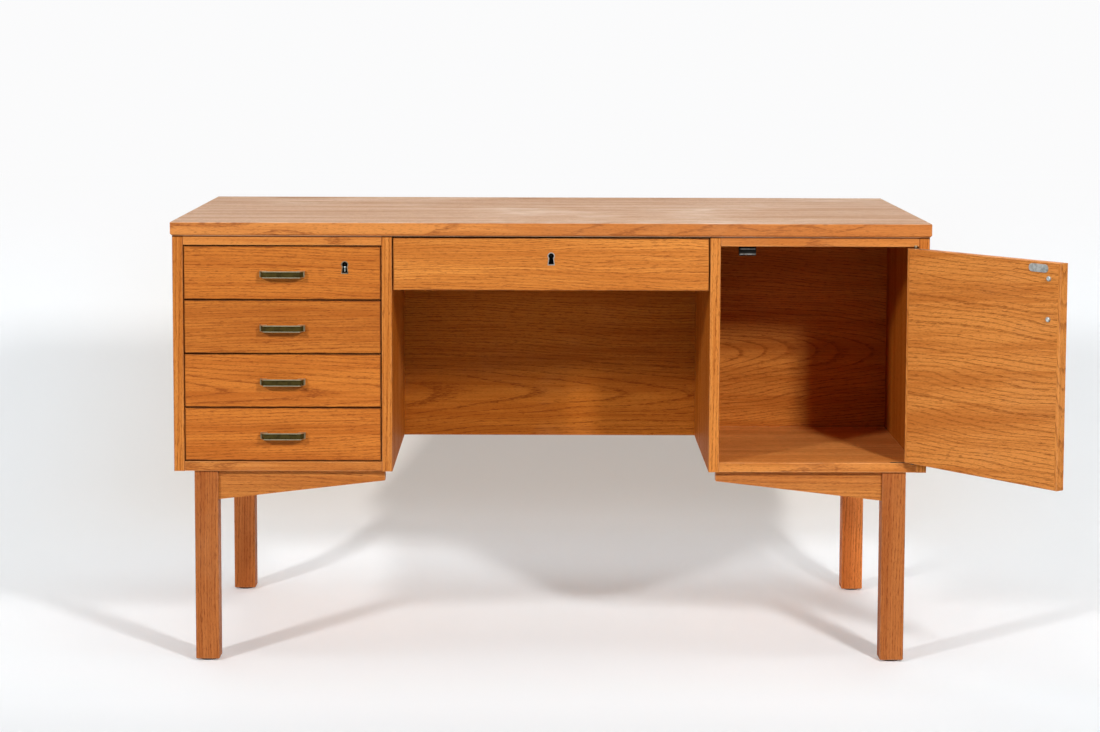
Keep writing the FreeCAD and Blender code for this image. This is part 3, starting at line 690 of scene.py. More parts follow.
@dataclass
class OakWorkshop:
    """Dresses wooden nodes in oak, each with its own figure.

    Attributes:
        effects: The shared shader groups.
        oil_index: Refractive index of the oil.
        relief_strength: Strength of the grain's relief.
        relief_height: Its full height.
        skin: Depths under the broad face at which the edges' colour is full and ends.
        seam_shade_edge: How far under the seam the painted shade starts and is full.
    """

    effects: Effects
    oil_index: float = 1.46
    relief_strength: float = 0.3
    relief_height: float = 0.0002
    skin: tuple[float, float] = (0.0013, 0.0004)
    seam_shade_edge: tuple[float, float] = (0.0026, 0.0014)

    def figure(self, graph: Graph, board: Board) -> Figure:
        """Lays a board's figure: end grain within the lip of its ends, long grain elsewhere.

        Args:
            graph: The material's graph.
            board: The board.

        Returns:
            The figure.
        """
        middle, turn, half = board.place()
        own = graph.settled(middle, turn)
        end = graph.math("GREATER_THAN", graph.unsigned(graph.split(own)[0]), half[0] - board.lip)
        skewed = graph.node("ShaderNodeVectorRotate", rotation_type="Z_AXIS")
        graph.feed(skewed, {"Vector": own, "Angle": math.radians(board.skew)})
        shifted = graph.vector("ADD", skewed.outputs[0], board.shift())
        x, y, z = graph.split(shifted)
        grain = graph.effect(
            self.effects.oak,
            Vector=graph.choose(end, shifted, graph.join(y, x, z)),
            Pith=Vector(board.pith) + board.shift(),
            Spacing=board.spacing,
            Lean=board.lean,
            Wander=board.wander,
        )
        wear = graph.effect(self.effects.wear, Vector=shifted)
        edges = graph.effect(self.effects.edges, Vector=own, Half=half)
        return Figure(graph, own, shifted, grain, wear, edges)

    def stain(self, figure: Figure, tone: OakTone, shade: float) -> bpy.types.NodeSocket:
        """Colour of one finish over a board's figure.

        Args:
            figure: The board's figure.
            tone: The finish.
            shade: How light the board is against it.

        Returns:
            The colour's socket.
        """
        graph, grain = figure.graph, figure.grain.outputs
        pale, warm, ring, pore = (
            scaled(colour, shade)
            for colour in (tone.pale(), tone.warm(), tone.ring(), tone.pore())
        )
        colour = graph.blend(grain["Tone"], pale, warm)
        for part, strength, dark in (
            ("Rings", tone.rings, ring),
            ("Flecks", tone.flecks, ring),
            ("Pores", tone.pores, pore),
        ):
            colour = graph.blend(graph.multiply(grain[part], strength), colour, dark)
        # Rubbed patches and arrises go to the worn colour: lighter wear on most finishes, painted
        # shade along the gaps on the drawer fronts.
        rubbed = graph.multiply(figure.wear.outputs["Patches"], tone.wear)
        rubbed = graph.multiply_add(figure.edges.outputs["Arrises"], tone.arris_wear_and_shade, rubbed)
        return graph.blend(rubbed, colour, scaled(tone.worn_and_gap_shade, shade))

    def streaked(
        self, figure: Figure, board: Board, tone: OakTone, colour: bpy.types.NodeSocket
    ) -> bpy.types.NodeSocket:
        """A board's colour with its pale streaky ovals.

        Args:
            figure: The board's figure.
            board: The board.
            tone: Its finish.
            colour: The colour without them.

        Returns:
            The colour's socket.
        """
        oval, core, strength, streak_range = (1, 1.5, 0), 0.2, 0.55, (0.42, 0.66)
        graph = figure.graph
        for x, y, reach in board.pale_streaks:
            flat = graph.vector("SUBTRACT", figure.own, (x, y, 0.0))
            far = graph.length(graph.vector("MULTIPLY", flat, oval))
            streaks = graph.fit(graph.noise(figure.shifted, PALE_STREAKS), *streak_range)
            pale_share = graph.multiply(graph.fit(far, reach, reach * core), streaks)
            colour = graph.blend(graph.multiply(pale_share, strength), colour, tone.worn_and_gap_shade)
        return colour

    def gloss(self, figure: Figure, tone: OakTone) -> bpy.types.NodeSocket:
        """Roughness over a board's figure.

        Args:
            figure: The board's figure.
            tone: Its finish.

        Returns:
            The roughness's socket.
        """
        rough: object = tone.rough
        for node, part, change in (
            (figure.grain, "Tone", 0.08),
            (figure.grain, "Pores", 0.18),
            (figure.wear, "Scratches", -0.12),
            (figure.edges, "Arrises", -0.08),
        ):
            rough = figure.graph.multiply_add(node.outputs[part], change, rough)
        return rough

    def material(
        self, board: Board, tone: OakTone, edge: OakTone | None = None
    ) -> bpy.types.Material:
        """Makes one board's oak.

        Args:
            board: The board and its grain.
            tone: Colour and gloss of its broad faces.
            edge: Colour of its edges, where it is another.

        Returns:
            The material.
        """
        seam_shade, ring_depth, pore_depth = 0.9, -0.25, -0.8
        made, graph, shader = new_material("oak_" + board.node)
        figure = self.figure(graph, board)
        colour = self.stain(figure, tone, board.shade)
        if edge:
            rim = self.stain(figure, edge, board.shade)
            thick = board.place()[2][2]
            deep = graph.unsigned(graph.split(figure.own)[2])
            skin = graph.fit(deep, *(thick - depth for depth in self.skin))
            colour = graph.blend(skin, rim, colour)
        colour = self.streaked(figure, board, tone, colour)
        # Painted shade: a dark band on the board just under the top's overhang, up to the seam.
        if board.seam:
            high = graph.split(graph.here())[2]
            seam_shade_mask = graph.fit(high, *(board.seam - depth for depth in self.seam_shade_edge))
            colour = graph.blend(graph.multiply(seam_shade_mask, seam_shade), colour, tone.seam_shade())
        height = graph.multiply_add(figure.grain.outputs["Rings"], ring_depth, 1.0)
        height = graph.multiply_add(figure.grain.outputs["Pores"], pore_depth, height)
        graph.relief(shader, height, self.relief_strength, self.relief_height)
        graph.put(shader.inputs["Base Color"], colour)
        graph.put(shader.inputs["Roughness"], self.gloss(figure, tone))
        shader.inputs["IOR"].default_value = self.oil_index
        shader.inputs["Specular IOR Level"].default_value = tone.sheen
        return made

    def dress(
        self, boards: tuple[Board, ...], tone: OakTone, edge: OakTone | None = None
    ) -> None:
        """Gives each board its oak.

        Args:
            boards: The boards of one finish.
            tone: Colour and gloss of their broad faces.
            edge: Colour of their edges, where it is another.
        """
        for board in boards:
            give(self.material(board, tone, edge), board.node)


def give(material: bpy.types.Material, *names: str) -> None:
    """Puts a material on all slots of some CAD nodes.

    Args:
        material: The material.
        names: The nodes' names.
    """
    for name in names:
        thing = FRAME["nodes"][name]
        if not thing.material_slots:
            thing.data.materials.append(material)
        for slot in thing.material_slots:
            slot.material = material
        LOG.info("dressed %s", name)


def add_mesh(
    name: str, points: np.ndarray, faces: list[list[int]], material: bpy.types.Material
) -> bpy.types.Object:
    """Adds a smooth mesh with its place in its points.

    Args:
        name: The piece's name.
        points: Its points, one row each.
        faces: Numbers of the points round each face.
        material: Its material.

    Returns:
        The piece.
    """
    mesh = bpy.data.meshes.new(name)
    mesh.from_pydata(points.tolist(), [], faces)
    mesh.polygons.foreach_set("use_smooth", np.ones(len(mesh.polygons), dtype=bool))
    mesh.materials.append(material)
    thing = bpy.data.objects.new(name, mesh)
    bpy.context.scene.collection.objects.link(thing)
    LOG.info("made %s", name)
    return thing


def middle_of(node: str) -> Point:
    """Middle of a node's box."""
    low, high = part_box(node)
    return tuple((a + b) / 2 for a, b in zip(low, high))


def front_of(node: str) -> Point:
    """Middle of the front of a node's box."""
    x, _, z = middle_of(node)
    return (x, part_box(node)[0][1], z)


CASE = OakTone(base=(0.62, 0.212, 0.040))
# Painted shade: the uprights' broad faces are a darker copy of the case oak, as the kneehole's and
# the cupboard's sides look in shade.
FACE_SHADE = OakTone(base=(0.41, 0.111, 0.010), sheen=0.06)
# Painted shade: the drawer fronts' worn colour is near black and their arrises strong, so the gaps
# round each front look shaded; faint patches get the same dark.
FRONT = OakTone(
    base=(0.53, 0.156, 0.021), sheen=0.18, worn_and_gap_shade=(0.14, 0.034, 0.006), wear=0.05, arris_wear_and_shade=0.8
)
WIDE_FRONT = OakTone(
    base=(0.64, 0.222, 0.038), rings=0.45, sheen=0.18, worn_and_gap_shade=(0.22, 0.06, 0.012), wear=0.06,
    arris_wear_and_shade=0.75,
)
DOOR = OakTone(base=(0.645, 0.226, 0.042), sheen=0.18)
# The top's pale grey-pink colour is partly its own bleached oak and partly painted sheen, the pale
# studio mirrored at a grazing angle.
TOP = OakTone(
    base=(0.555, 0.330, 0.198), rough=0.52, rings=0.7, sheen=0.34, worn_and_gap_shade=(0.86, 0.70, 0.57),
    wear=0.50,
)
# Painted shade: the dividers behind the drawers and at the back of the cupboard are a darker copy
# of the case oak.
HOLLOW_SHADE = OakTone(base=(0.55, 0.182, 0.028), rings=0.5, sheen=0.06)
# Painted shade: the modesty panel, deep under the top, is a darker copy of the case oak.
KNEE_SHADE = OakTone(base=(0.49, 0.142, 0.015), rings=0.32, sheen=0.06)
# Painted light: the lower panels, whose top is the cupboard's floor, are a lighter copy of the
# case oak, for the light that falls on that floor.
BASE_BOARD_LIT = OakTone(base=(0.82, 0.31, 0.070))
# Painted shade: the drawer fronts' edges are near black, for the shade in the gaps between the
# fronts.
GAP_SHADE = OakTone(base=(0.23, 0.062, 0.011), sheen=0.08)
LEG = OakTone(base=(0.43, 0.128, 0.026))
INNER = OakTone(base=(0.62, 0.37, 0.17), rough=0.6, rings=0.3)


@dataclass(frozen=True)
class Sunk:
    """A darker part of a fitting, told by its place.

    Attributes:
        middle: Middle of the fitting, or of its front.
        colour: Colour of the dark part.
        limit: Half width that the dark part keeps within.
        start: Depth from the middle at which the dark part starts.
        turn: Turn of its own axes: along it, into it and across it.
        metal: How metallic the dark part is.
        tip: Distance from the middle, along it, past which the dark is rubbed thin, or 0.
        thin: Share of the dark that is rubbed off past the tip.
    """

    middle: Point
    colour: Colour
    limit: float = 9.0
    start: float = -9.0
    turn: tuple[float, float, float] = (0.0, 0.0, 0.0)
    metal: float = 0.0
    tip: float = 0.0
    thin: float = 0.55

    def mask(self, graph: Graph) -> bpy.types.NodeSocket:
        """Where the dark part is.

        Args:
            graph: The material's graph.

        Returns:
            Socket of a mask.
        """
        along, deep, across = graph.split(graph.settled(self.middle, self.turn))
        within = graph.math("LESS_THAN", graph.unsigned(across), self.limit)
        sunk = graph.multiply(within, graph.math("GREATER_THAN", deep, self.start))
        if not self.tip:
            return sunk
        ends = graph.math("GREATER_THAN", graph.unsigned(along), self.tip)
        return graph.multiply(sunk, graph.multiply_add(ends, -self.thin, 1.0))


@dataclass(frozen=True)
class MetalFinish:
    """An aged metal.

    Attributes:
        name: The material's name.
        bright: Colour where it is clean.
        stained: Colour where it is tarnished.
        rough: Roughness where it is clean.
        stain: Strength of the stains.
        sheen: Level of the mirror-like reflection of its dark parts.
        relief_strength: Strength of the brush lines' relief.
        relief_height: Their full height.
    """

    name: str
    bright: Colour
    stained: Colour
    rough: float
    stain: float
    sheen: float = 0.1
    relief_strength: float = 0.2
    relief_height: float = 0.0001

    def material(
        self, effects: Effects, title: str = "", sunk: Sunk | None = None
    ) -> bpy.types.Material:
        """Makes the metal's material.

        Args:
            effects: The shared shader groups.
            title: What the material is called after the metal.
            sunk: A darker part of the fitting.

        Returns:
            The material.
        """
        stain_rough, brush_rough, sunk_rough = 0.25, 0.12, 0.18
        lighter, darker = 1.4, 0.7
        made, graph, shader = new_material(self.name + title)
        patina = graph.effect(effects.patina, Vector=graph.here()).outputs
        share = graph.multiply(patina["Stain"], self.stain)
        colour = graph.blend(share, self.bright, self.stained)
        rough = graph.multiply_add(share, stain_rough, self.rough)
        rough = graph.multiply_add(patina["Brush"], brush_rough, rough)
        shader.inputs["Metallic"].default_value = 1.0
        shader.inputs["Specular IOR Level"].default_value = self.sheen
        if sunk:
            mask = sunk.mask(graph)
            deep = graph.blend(
                patina["Stain"], scaled(sunk.colour, lighter), scaled(sunk.colour, darker)
            )
            colour = graph.blend(mask, colour, deep)
            metal = graph.multiply_add(mask, sunk.metal - 1.0, 1.0)
            graph.put(shader.inputs["Metallic"], metal)
            rough = graph.multiply_add(mask, sunk_rough, rough)
        graph.feed(shader, {"Base Color": colour, "Roughness": rough})
        graph.relief(shader, patina["Brush"], self.relief_strength, self.relief_height)
        return made


BRASS = MetalFinish("aged_brass", (0.56, 0.52, 0.37), (0.28, 0.23, 0.12), 0.32, 0.6)
ZINC = MetalFinish("zinc_plate", (0.54, 0.57, 0.56), (0.24, 0.27, 0.26), 0.36, 0.8)
DULL = MetalFinish("dull_steel", (0.34, 0.33, 0.31), (0.10, 0.09, 0.08), 0.40, 0.9)
BRONZE = MetalFinish("lock_bronze", (0.34, 0.29, 0.20), (0.10, 0.07, 0.04), 0.34, 0.9)
STEEL = MetalFinish("lock_steel", (0.50, 0.48, 0.44), (0.20, 0.17, 0.13), 0.32, 0.6)
DARK: Colour = (0.012, 0.011, 0.010)


@dataclass(frozen=True)
class MouldedPlastic:
    """A dull moulded plastic with a fine grain.

    Attributes:
        name: The material's name.
        colour: Its colour.
        rough: Its least roughness.
        speck_rough: How much the grain adds to the roughness.
        fade: How much lighter than its colour its clouds are, as a factor and an addition.
        relief_strength: Strength of the grain's relief.
        relief_height: Its full height.
    """

    name: str
    colour: Colour
    rough: float = 0.4
    speck_rough: float = 0.2
    fade: tuple[float, float] = (1.7, 0.01)
    relief_strength: float = 0.25
    relief_height: float = 0.0001

    def material(self) -> bpy.types.Material:
        """Makes the plastic's material.

        Returns:
            The material.
        """
        made, graph, shader = new_material(self.name)
        place = graph.here()
        speck = graph.noise(place, PLASTIC_SPECKS)
        factor, addition = self.fade
        lighter = tuple(channel * factor + addition for channel in self.colour)
        colour = graph.blend(graph.noise(place, PLASTIC_CLOUDS), self.colour, lighter)
        rough = graph.multiply_add(speck, self.speck_rough, self.rough)
        graph.feed(shader, {"Base Color": colour, "Roughness": rough})
        graph.relief(shader, speck, self.relief_strength, self.relief_height)
        return made


@dataclass
class Case:
    """Top board, pedestals, upright panels, rear shelves and legs.

    Attributes:
        workshop: Where the boards are dressed.
        under_top: Height of the seam under the top.
        leg_shades: How light each leg is against its finish; the rear legs are painted lighter,
            the right one most, as if more lamp light reached them under the case.
        rail_shade: How light the leg rails are.
        lower_shade: How light the pedestals' lower panels are.
        pale_streaks: Pale streaky ovals on the top.
    """

    workshop: OakWorkshop
    under_top: float = 0.717
    # Painted light: the rear legs are lighter than the front ones, the right one most.
    leg_shades: tuple[tuple[str, float], ...] = (
        ("front_left", 1.0),
        ("front_right", 1.0),
        ("rear_left", 1.10),
        ("rear_right", 1.65),
    )
    rail_shade: float = 0.86
    lower_shade: float = 0.94
    pale_streaks: tuple[Point, ...] = ((0.27, -0.02, 0.15), (-0.46, 0.16, 0.12), (0.08, -0.16, 0.07))

    def build(self) -> None:
        """Dresses the fixed boards of the desk."""
        dress, seam = self.workshop.dress, self.under_top
        top = Board("desktop", pith=(0.1, 0.28, 0.10), lean=0.015, pale_streaks=self.pale_streaks)
        dress((top,), TOP, CASE)
        for side in SIDES:
            uprights = tuple(
                Board(name + side, Grain.UP, Facing.SIDE, pith=(0.3, 0.3, 0.03), seam=seam)
                for name in ("side_outer_", "side_inner_")
            )
            dress(uprights, FACE_SHADE, CASE)
            lower = Board("panel_lower_" + side, shade=self.lower_shade)
            dress((lower,), BASE_BOARD_LIT, CASE)
            upper = Board("panel_upper_" + side, seam=seam)
            rails = Board("leg_rails_" + side, facing=Facing.FRONT, shade=self.rail_shade)
            dress((upper, Board("rear_shelf_" + side), rails), CASE)
        behind_drawers = Board("divider_left", facing=Facing.FRONT)
        behind_cupboard = Board(
            "divider_right", facing=Facing.FRONT, pith=(0.0, 0.05, 0.035), lean=0.10,
            wander=0.06,
        )
        dress((behind_drawers, behind_cupboard), HOLLOW_SHADE)
        knee = Board(
            "modesty_panel", facing=Facing.FRONT, pith=(0.0, 0.12, 0.05), lean=0.035,
            wander=0.05, shade=0.93,
        )
        dress((knee,), KNEE_SHADE)
        legs = tuple(
            Board("leg_" + name, Grain.UP, Facing.FRONT, shade=shade)
            for name, shade in self.leg_shades
        )
        dress(legs, LEG)


@dataclass
class Drawers:
    """The pedestal's four drawers and the wide one over the kneehole.

    Attributes:
        workshop: Where the boards are dressed.
        piths: Pith of each of the four fronts, from the top one down.
        shades: How light each of them is against its finish.
    """

    workshop: OakWorkshop
    piths: tuple[Point, ...] = (
        (0.3, 0.30, 0.02),
        (-0.4, -0.25, 0.02),
        (0.0, 0.02, 0.03),
        (-0.2, -0.12, 0.02),
    )
    shades: tuple[float, ...] = (1.03, 0.95, 1.06, 1.07)

    def build(self) -> None:
        """Dresses fronts, boxes, bottoms and runners."""
        fronts = tuple(
            Board(
                "drawer_%d_front" % number, facing=Facing.FRONT, pith=pith, lean=0.03,
                shade=shade,
            )
            for number, pith, shade in zip(DRAWER_NUMBERS, self.piths, self.shades)
        )
        # The fronts' edges and arrises carry painted shade of the gaps round them.
        self.workshop.dress(fronts, FRONT, GAP_SHADE)
        wide = Board(
            "drawer_centre_front", facing=Facing.FRONT, pith=(0.0, 0.30, 0.02),
            spacing=0.0045, lean=0.012, wander=0.08,
        )
        # The wide front's edges and arrises carry painted shade of the gaps round it too.
        self.workshop.dress((wide,), WIDE_FRONT, GAP_SHADE)
        words = (*DRAWER_NUMBERS, "centre")
        sides = ["drawer_%s_box" % word for word in words]
        backward = tuple(
            Board(name, Grain.BACK, Facing.SIDE)
            for name in ("runners_left", "runners_centre", *sides)
        )
        bottoms = tuple(Board("drawer_%s_bottom" % word) for word in words)
        self.workshop.dress(backward + bottoms, INNER)


@dataclass
class Cupboard:
    """The cupboard's door, which stands open.

    Attributes:
        workshop: Where the door is dressed.
        width: The panel's width.
        height: Its height.
        thickness: Its thickness.
    """

    workshop: OakWorkshop
    width: float = 0.3255
    height: float = 0.358
    thickness: float = 0.017

    def build(self) -> None:
        """Dresses the door panel."""
        door = Board(
            "door_panel", facing=Facing.FRONT, pith=(0.0, -0.42, 0.02), spacing=0.008,
            lean=0.10, wander=0.07, lip=0.005, turn=OPEN_ANGLE, skew=-6.0,
            half=(self.width / 2, self.height / 2, self.thickness / 2),
        )
        self.workshop.dress((door,), DOOR)


@dataclass
class Pulls:
    """The bar handles, each with a dark channel between its bright rims.

    Attributes:
        effects: The shared shader groups.
        channel: Half width of the channel.
        front_half: Distance from the middle past which the channel is rubbed.
        enamel: Colour of the channel.
        enamel_metal: How metallic the channel is.
    """

    effects: Effects
    channel: float = 0.0044
    front_half: float = 0.0352
    enamel: Colour = (0.045, 0.032, 0.006)
    enamel_metal: float = 0.1

    def dress(self, node: str, title: str, turn: Matrix) -> None:
        """Dresses one handle.

        Args:
            node: The handle's node.
            title: What its material is called after the metal.
            turn: Its axes: along it, into the board and across it.
        """
        sunk = Sunk(
            middle_of(node), self.enamel, self.channel, turn=tuple(turn.to_euler()),
            metal=self.enamel_metal, tip=self.front_half,
        )
        give(BRASS.material(self.effects, title, sunk), node)

    def build(self) -> None:
        """Dresses the five handles."""
        for number in DRAWER_NUMBERS:
            self.dress("drawer_%d_handle" % number, "_%d" % number, Matrix.Identity(3))
        upright = Matrix(((0, 0, -1), (0, 1, 0), (1, 0, 0)))
        self.dress("door_handle", "_door", OPEN_TURN @ upright)


@dataclass
class Fittings:
    """Locks, hinges, strike, catch, pins and glides.

    Attributes:
        effects: The shared shader groups.
        ring_depth: Depth of a keyhole's bright ring.
        pole_depth: Depth of the catch's bright poles.
        keyhole_shade: Near-black colour deep inside a keyhole, painted shade of the hole.
    """

    effects: Effects
    ring_depth: float = 0.0012
    pole_depth: float = 0.0009
    keyhole_shade: Colour = (0.004, 0.0035, 0.003)

    def build(self) -> None:
        """Dresses the metal and plastic nodes."""
        give(BRONZE.material(self.effects), "hinge_leaves_case", "hinge_leaves_door")
        zinc = ZINC.material(self.effects)
        give(zinc, "door_handle_screws", "strike_plate", "shelf_pins")
        give(STEEL.material(self.effects), "drawer_1_bolt", "drawer_centre_bolt")
        give(MouldedPlastic("dark_plastic", DARK).material(), "glides")
        # Behind their bright ring the keyholes are painted near black, painted shade of the holes;
        # the catch's dark body is its own black.
        for node, metal, title, colour, depth in (
            ("drawer_1_lock", BRONZE, "_1", self.keyhole_shade, self.ring_depth),
            ("drawer_centre_lock", STEEL, "_centre", self.keyhole_shade, self.ring_depth),
            ("magnetic_catch", DULL, "", DARK, self.pole_depth),
        ):
            inside = Sunk(front_of(node), colour, start=depth)
            give(metal.material(self.effects, title, inside), node)


@dataclass(frozen=True)
class ScrewHead:
    """A domed or countersunk screw head with a driver's cross in it.

    Attributes:
        radius: Radius of the head.
        rise: Height of the dome's top over the seat.
        recess: Depth of the cross.
        blade: Half width of the cross's arms.
        skirt: Depth to which the rim is let into the seat.
        arm: Length of the cross's arms, as a share of the radius.
        flat: Half width of an arm's flat floor, in blades; the walls slope over one more.
        end_slope: How steeply the arms' ends rise.
        rings: Rings of points in the dome.
        around: Points in each ring.
    """

    radius: float
    rise: float
    recess: float
    blade: float = 0.0005
    skirt: float = 0.0004
    arm: float = 0.62
    flat: float = 0.6
    end_slope: float = 4.0
    rings: int = 14
    around: int = 40

    def surface(
        self, centre: Point, normal: Vector, turn: float
    ) -> tuple[np.ndarray, np.ndarray, np.ndarray]:
        """Points and faces of one head.

        A dome over rings s from 0 to 1 and angles t: its height is rise times (1 - s squared),
        less the recess where the point lies within an arm of the cross. A last ring goes down
        by the skirt, and one point each closes the top and the underside.

        Args:
            centre: Middle of the head on its seat.
            normal: The way that it faces.
            turn: Turn of the cross in radians.

        Returns:
            The points, the faces of four corners and those of three, as arrays.
        """
        rings, around = self.rings, self.around
        share = np.linspace(1 / rings, 1.0, rings)[:, None]
        angle = np.linspace(0, 2 * math.pi, around, endpoint=False)[None, :]
        x = self.radius * share * np.cos(angle)
        y = self.radius * share * np.sin(angle)
        narrow = np.minimum(np.abs(x), np.abs(y)) / self.blade
        reach = np.hypot(x, y) / (self.radius * self.arm)
        walls = np.clip(1.0 + self.flat - narrow, 0, 1)
        cross = walls * np.clip((1.0 - reach) * self.end_slope, 0, 1)
        z = self.rise * (1 - share**2) - self.recess * cross
        dome = np.stack((x, y, z), -1).reshape(-1, 3)
        rim = np.column_stack((x[-1], y[-1], np.full(around, -self.skirt)))
        ends = np.array(((0, 0, self.rise - self.recess), (0, 0, -self.skirt)))
        points = np.concatenate((dome, rim, ends))

        spot = np.arange(around)
        row = np.arange(rings)[:, None] * around
        first, second = row + spot, row + (spot + 1) % around
        quads = np.stack((first, first + around, second + around, second), -1).reshape(-1, 4)
        top, bottom = len(points) - 2, len(points) - 1
        cap = np.column_stack((np.full(around, top), first[0], second[0]))
        last = row[-1] + around
        under = np.column_stack((np.full(around, bottom), last + (spot + 1) % around, last + spot))
        axes = normal.to_track_quat("Z", "Y").to_matrix() @ Matrix.Rotation(turn, 3, "Z")
        placed = points @ np.array(axes).T + np.array(centre)
        return placed, quads, np.concatenate((cap, under))


Fixing = tuple[ScrewHead, Point, Point]

SMALL = ScrewHead(0.0022, 0.00012, 0.0007)
PAN = ScrewHead(0.0040, 0.0010, 0.0011, 0.0007)
FLAT = ScrewHead(0.0042, 0.0002, 0.0011, 0.0007)
UP: Point = (0, 0, 1)
DOWN: Point = (0, 0, -1)
AHEAD: Point = (0, -1, 0)
BACKWARD: Point = (0, 1, 0)


@dataclass
class Screws:
    """Every small screw that shows, one piece for each finish on each moving body.

    Places are measured from the middle of the top's front edge, on the floor, with the door
    shut, unless they are read from a node's box.

    Attributes:
        effects: The shared shader groups.
        origin: The middle of the top's front edge, on the floor, in the frame.
        pivot: The door's pivots in X and Y.
        pull: Middle of the door's handle in X and Z.
        pull_step: Half the distance of a handle's screws.
        pull_seat: Y of the seats of the screws in the door's handle.
        strike: Middle of the strike plate's face.
        strike_step: Half the distance of its end screws.
        leaf_x: Places of a hinge leaf's screws in X.
        leaf_y: Their place in Y.
        door_leaves: Level of the door's upper and lower leaf.
        case_leaves: Level of the case's upper and lower leaf.
        catch: Middle of the catch's screws.
        catch_step: Half their distance.
        rail_x: Places of the screws in the tapered rails in X, on either side.
        rail_y: Their places in Y.
        rail_span: Inner and outer end of a rail's taper in X.
        rail_depth: The rail's depth at those ends.
        case_bottom: Height of the case's underside.
        long_rail: Place of the screws in the long rails in X, on either side, and Z.
        long_rail_y: Their places in Y.
        keyhole_level: Height of the top pin in the keyhole.
        pins: Radius of each pin in it, and how far it stands under the top one.
        pin_rise: Rise of a pin's head.
        pin_skirt: Depth of a pin.
        pin_seat: How far behind the ring's front the pins' heads sit.
        first_turn: Turn of a piece's first cross.
        next_turn: Turn from each cross to the next.
    """

    effects: Effects
    origin: Vector
    pivot: tuple[float, float] = (0.604, 0.005)
    pull: tuple[float, float] = (0.3055, 0.642)
    pull_step: float = 0.032
    pull_seat: float = 0.02285
    strike: Point = (0.327, 0.0217, 0.6895)
    strike_step: float = 0.0125
    leaf_x: tuple[float, float] = (0.574, 0.588)
    leaf_y: float = 0.0105
    door_leaves: tuple[float, float] = (0.6995, 0.3415)
    case_leaves: tuple[float, float] = (0.7015, 0.3395)
    catch: Point = (0.327, 0.0322, 0.6997)
    catch_step: float = 0.0185
    rail_x: tuple[float, float] = (0.535, 0.335)
    rail_y: tuple[float, float] = (0.026, 0.5605)
    rail_span: tuple[float, float] = (0.2765, 0.555)
    rail_depth: tuple[float, float] = (0.0175, 0.050)
    case_bottom: float = 0.3235
    long_rail: tuple[float, float] = (0.57475, 0.2735)
    long_rail_y: tuple[float, float] = (0.16, 0.42)
    keyhole_level: float = 0.6651
    pins: tuple[tuple[float, float], ...] = ((0.0017, 0.0), (0.0013, 0.0034), (0.0013, 0.0062))
    pin_rise: float = 0.0006
    pin_skirt: float = 0.006
    pin_seat: float = 0.0016
    first_turn: float = 0.3
    next_turn: float = 0.7

    def piece(
        self, name: str, body: str, heads: list[Fixing], metal: bpy.types.Material
    ) -> None:
        """Makes one piece of several heads.

        Args:
            name: The piece's name.
            body: The body that it rides on.
            heads: Head, centre and normal of each.
            metal: Their material.
        """
        points, quads, triangles, count = [], [], [], 0
        for number, (head, centre, normal) in enumerate(heads):
            turn = self.next_turn * number + self.first_turn
            here, four, three = head.surface(centre, Vector(normal), turn)
            points.append(here)
            quads.append(four + count)
            triangles.append(three + count)
            count += len(here)
        faces = np.concatenate(quads).tolist() + np.concatenate(triangles).tolist()
        thing = add_mesh(name, np.concatenate(points), faces, metal)
        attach(thing, body)

    def door_point(self, x: float, y: float, z: float) -> Point:
        """A point of the shut door, where the open door has it in the frame."""
        pivot = Vector((*self.pivot, 0.0))
        return tuple(OPEN_TURN @ (Vector((x, y, z)) - pivot) + pivot + self.origin)

    def desk_point(self, x: float, y: float, z: float) -> Point:
        """A point of the desk, in the frame."""
        return tuple(Vector((x, y, z)) + self.origin)

    def rail_level(self, x: float) -> float:
        """Height of a tapered rail's lower edge.

        Args:
            x: Distance from the desk's middle.

        Returns:
            The height over the floor.
        """
        return self.case_bottom - float(np.interp(x, self.rail_span, self.rail_depth))

    def on_door(self) -> list[Fixing]:
        """The screws of the door's handle and of its strike plate.

        Returns:
            Head, centre and normal of each.
        """
        out = tuple(OPEN_TURN @ Vector(BACKWARD))
        heads = []
        x, z = self.pull
        for step in (-self.pull_step, self.pull_step):
            heads.append((PAN, self.door_point(x, self.pull_seat, z + step), out))
        x, y, z = self.strike
        for head, step in ((SMALL, -self.strike_step), (SMALL, self.strike_step), (FLAT, 0.0)):
            heads.append((head, self.door_point(x + step, y, z), out))
        return heads

    def in_case(self) -> list[Fixing]:
        """The screws of the catch, of the tapered rails and of the long ones.

        Returns:
            Head, centre and normal of each.
        """
        x, y, z = self.catch
        heads = [
            (SMALL, self.desk_point(x + step, y, z), DOWN)
            for step in (-self.catch_step, self.catch_step)
        ]
        for side in (-1, 1):
            for x in self.rail_x:
                for y in self.rail_y:
                    heads.append((FLAT, self.desk_point(side * x, y, self.rail_level(x)), DOWN))
            x, z = self.long_rail
            for y in self.long_rail_y:
                heads.append((FLAT, self.desk_point(side * x, y, z), DOWN))
        return heads

    def in_drawer(self, number: int) -> list[Fixing]:
        """The screws of a drawer's handle, and the pins in the top drawer's keyhole.

        Args:
            number: The drawer's number.

        Returns:
            Head, centre and normal of each.
        """
        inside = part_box("drawer_%d_front" % number)[1][1]
        x, _, z = middle_of("drawer_%d_handle" % number)
        heads = [
            (PAN, (x + step, inside, z), BACKWARD)
            for step in (-self.pull_step, self.pull_step)
        ]
        if number == DRAWER_NUMBERS[0]:
            x, front, _ = front_of("drawer_1_lock")
            for radius, drop in self.pins:
                pin = ScrewHead(radius, self.pin_rise, 0.0, skirt=self.pin_skirt)
                centre = (x, front + self.pin_seat, self.keyhole_level - drop)
                heads.append((pin, centre, AHEAD))
        return heads

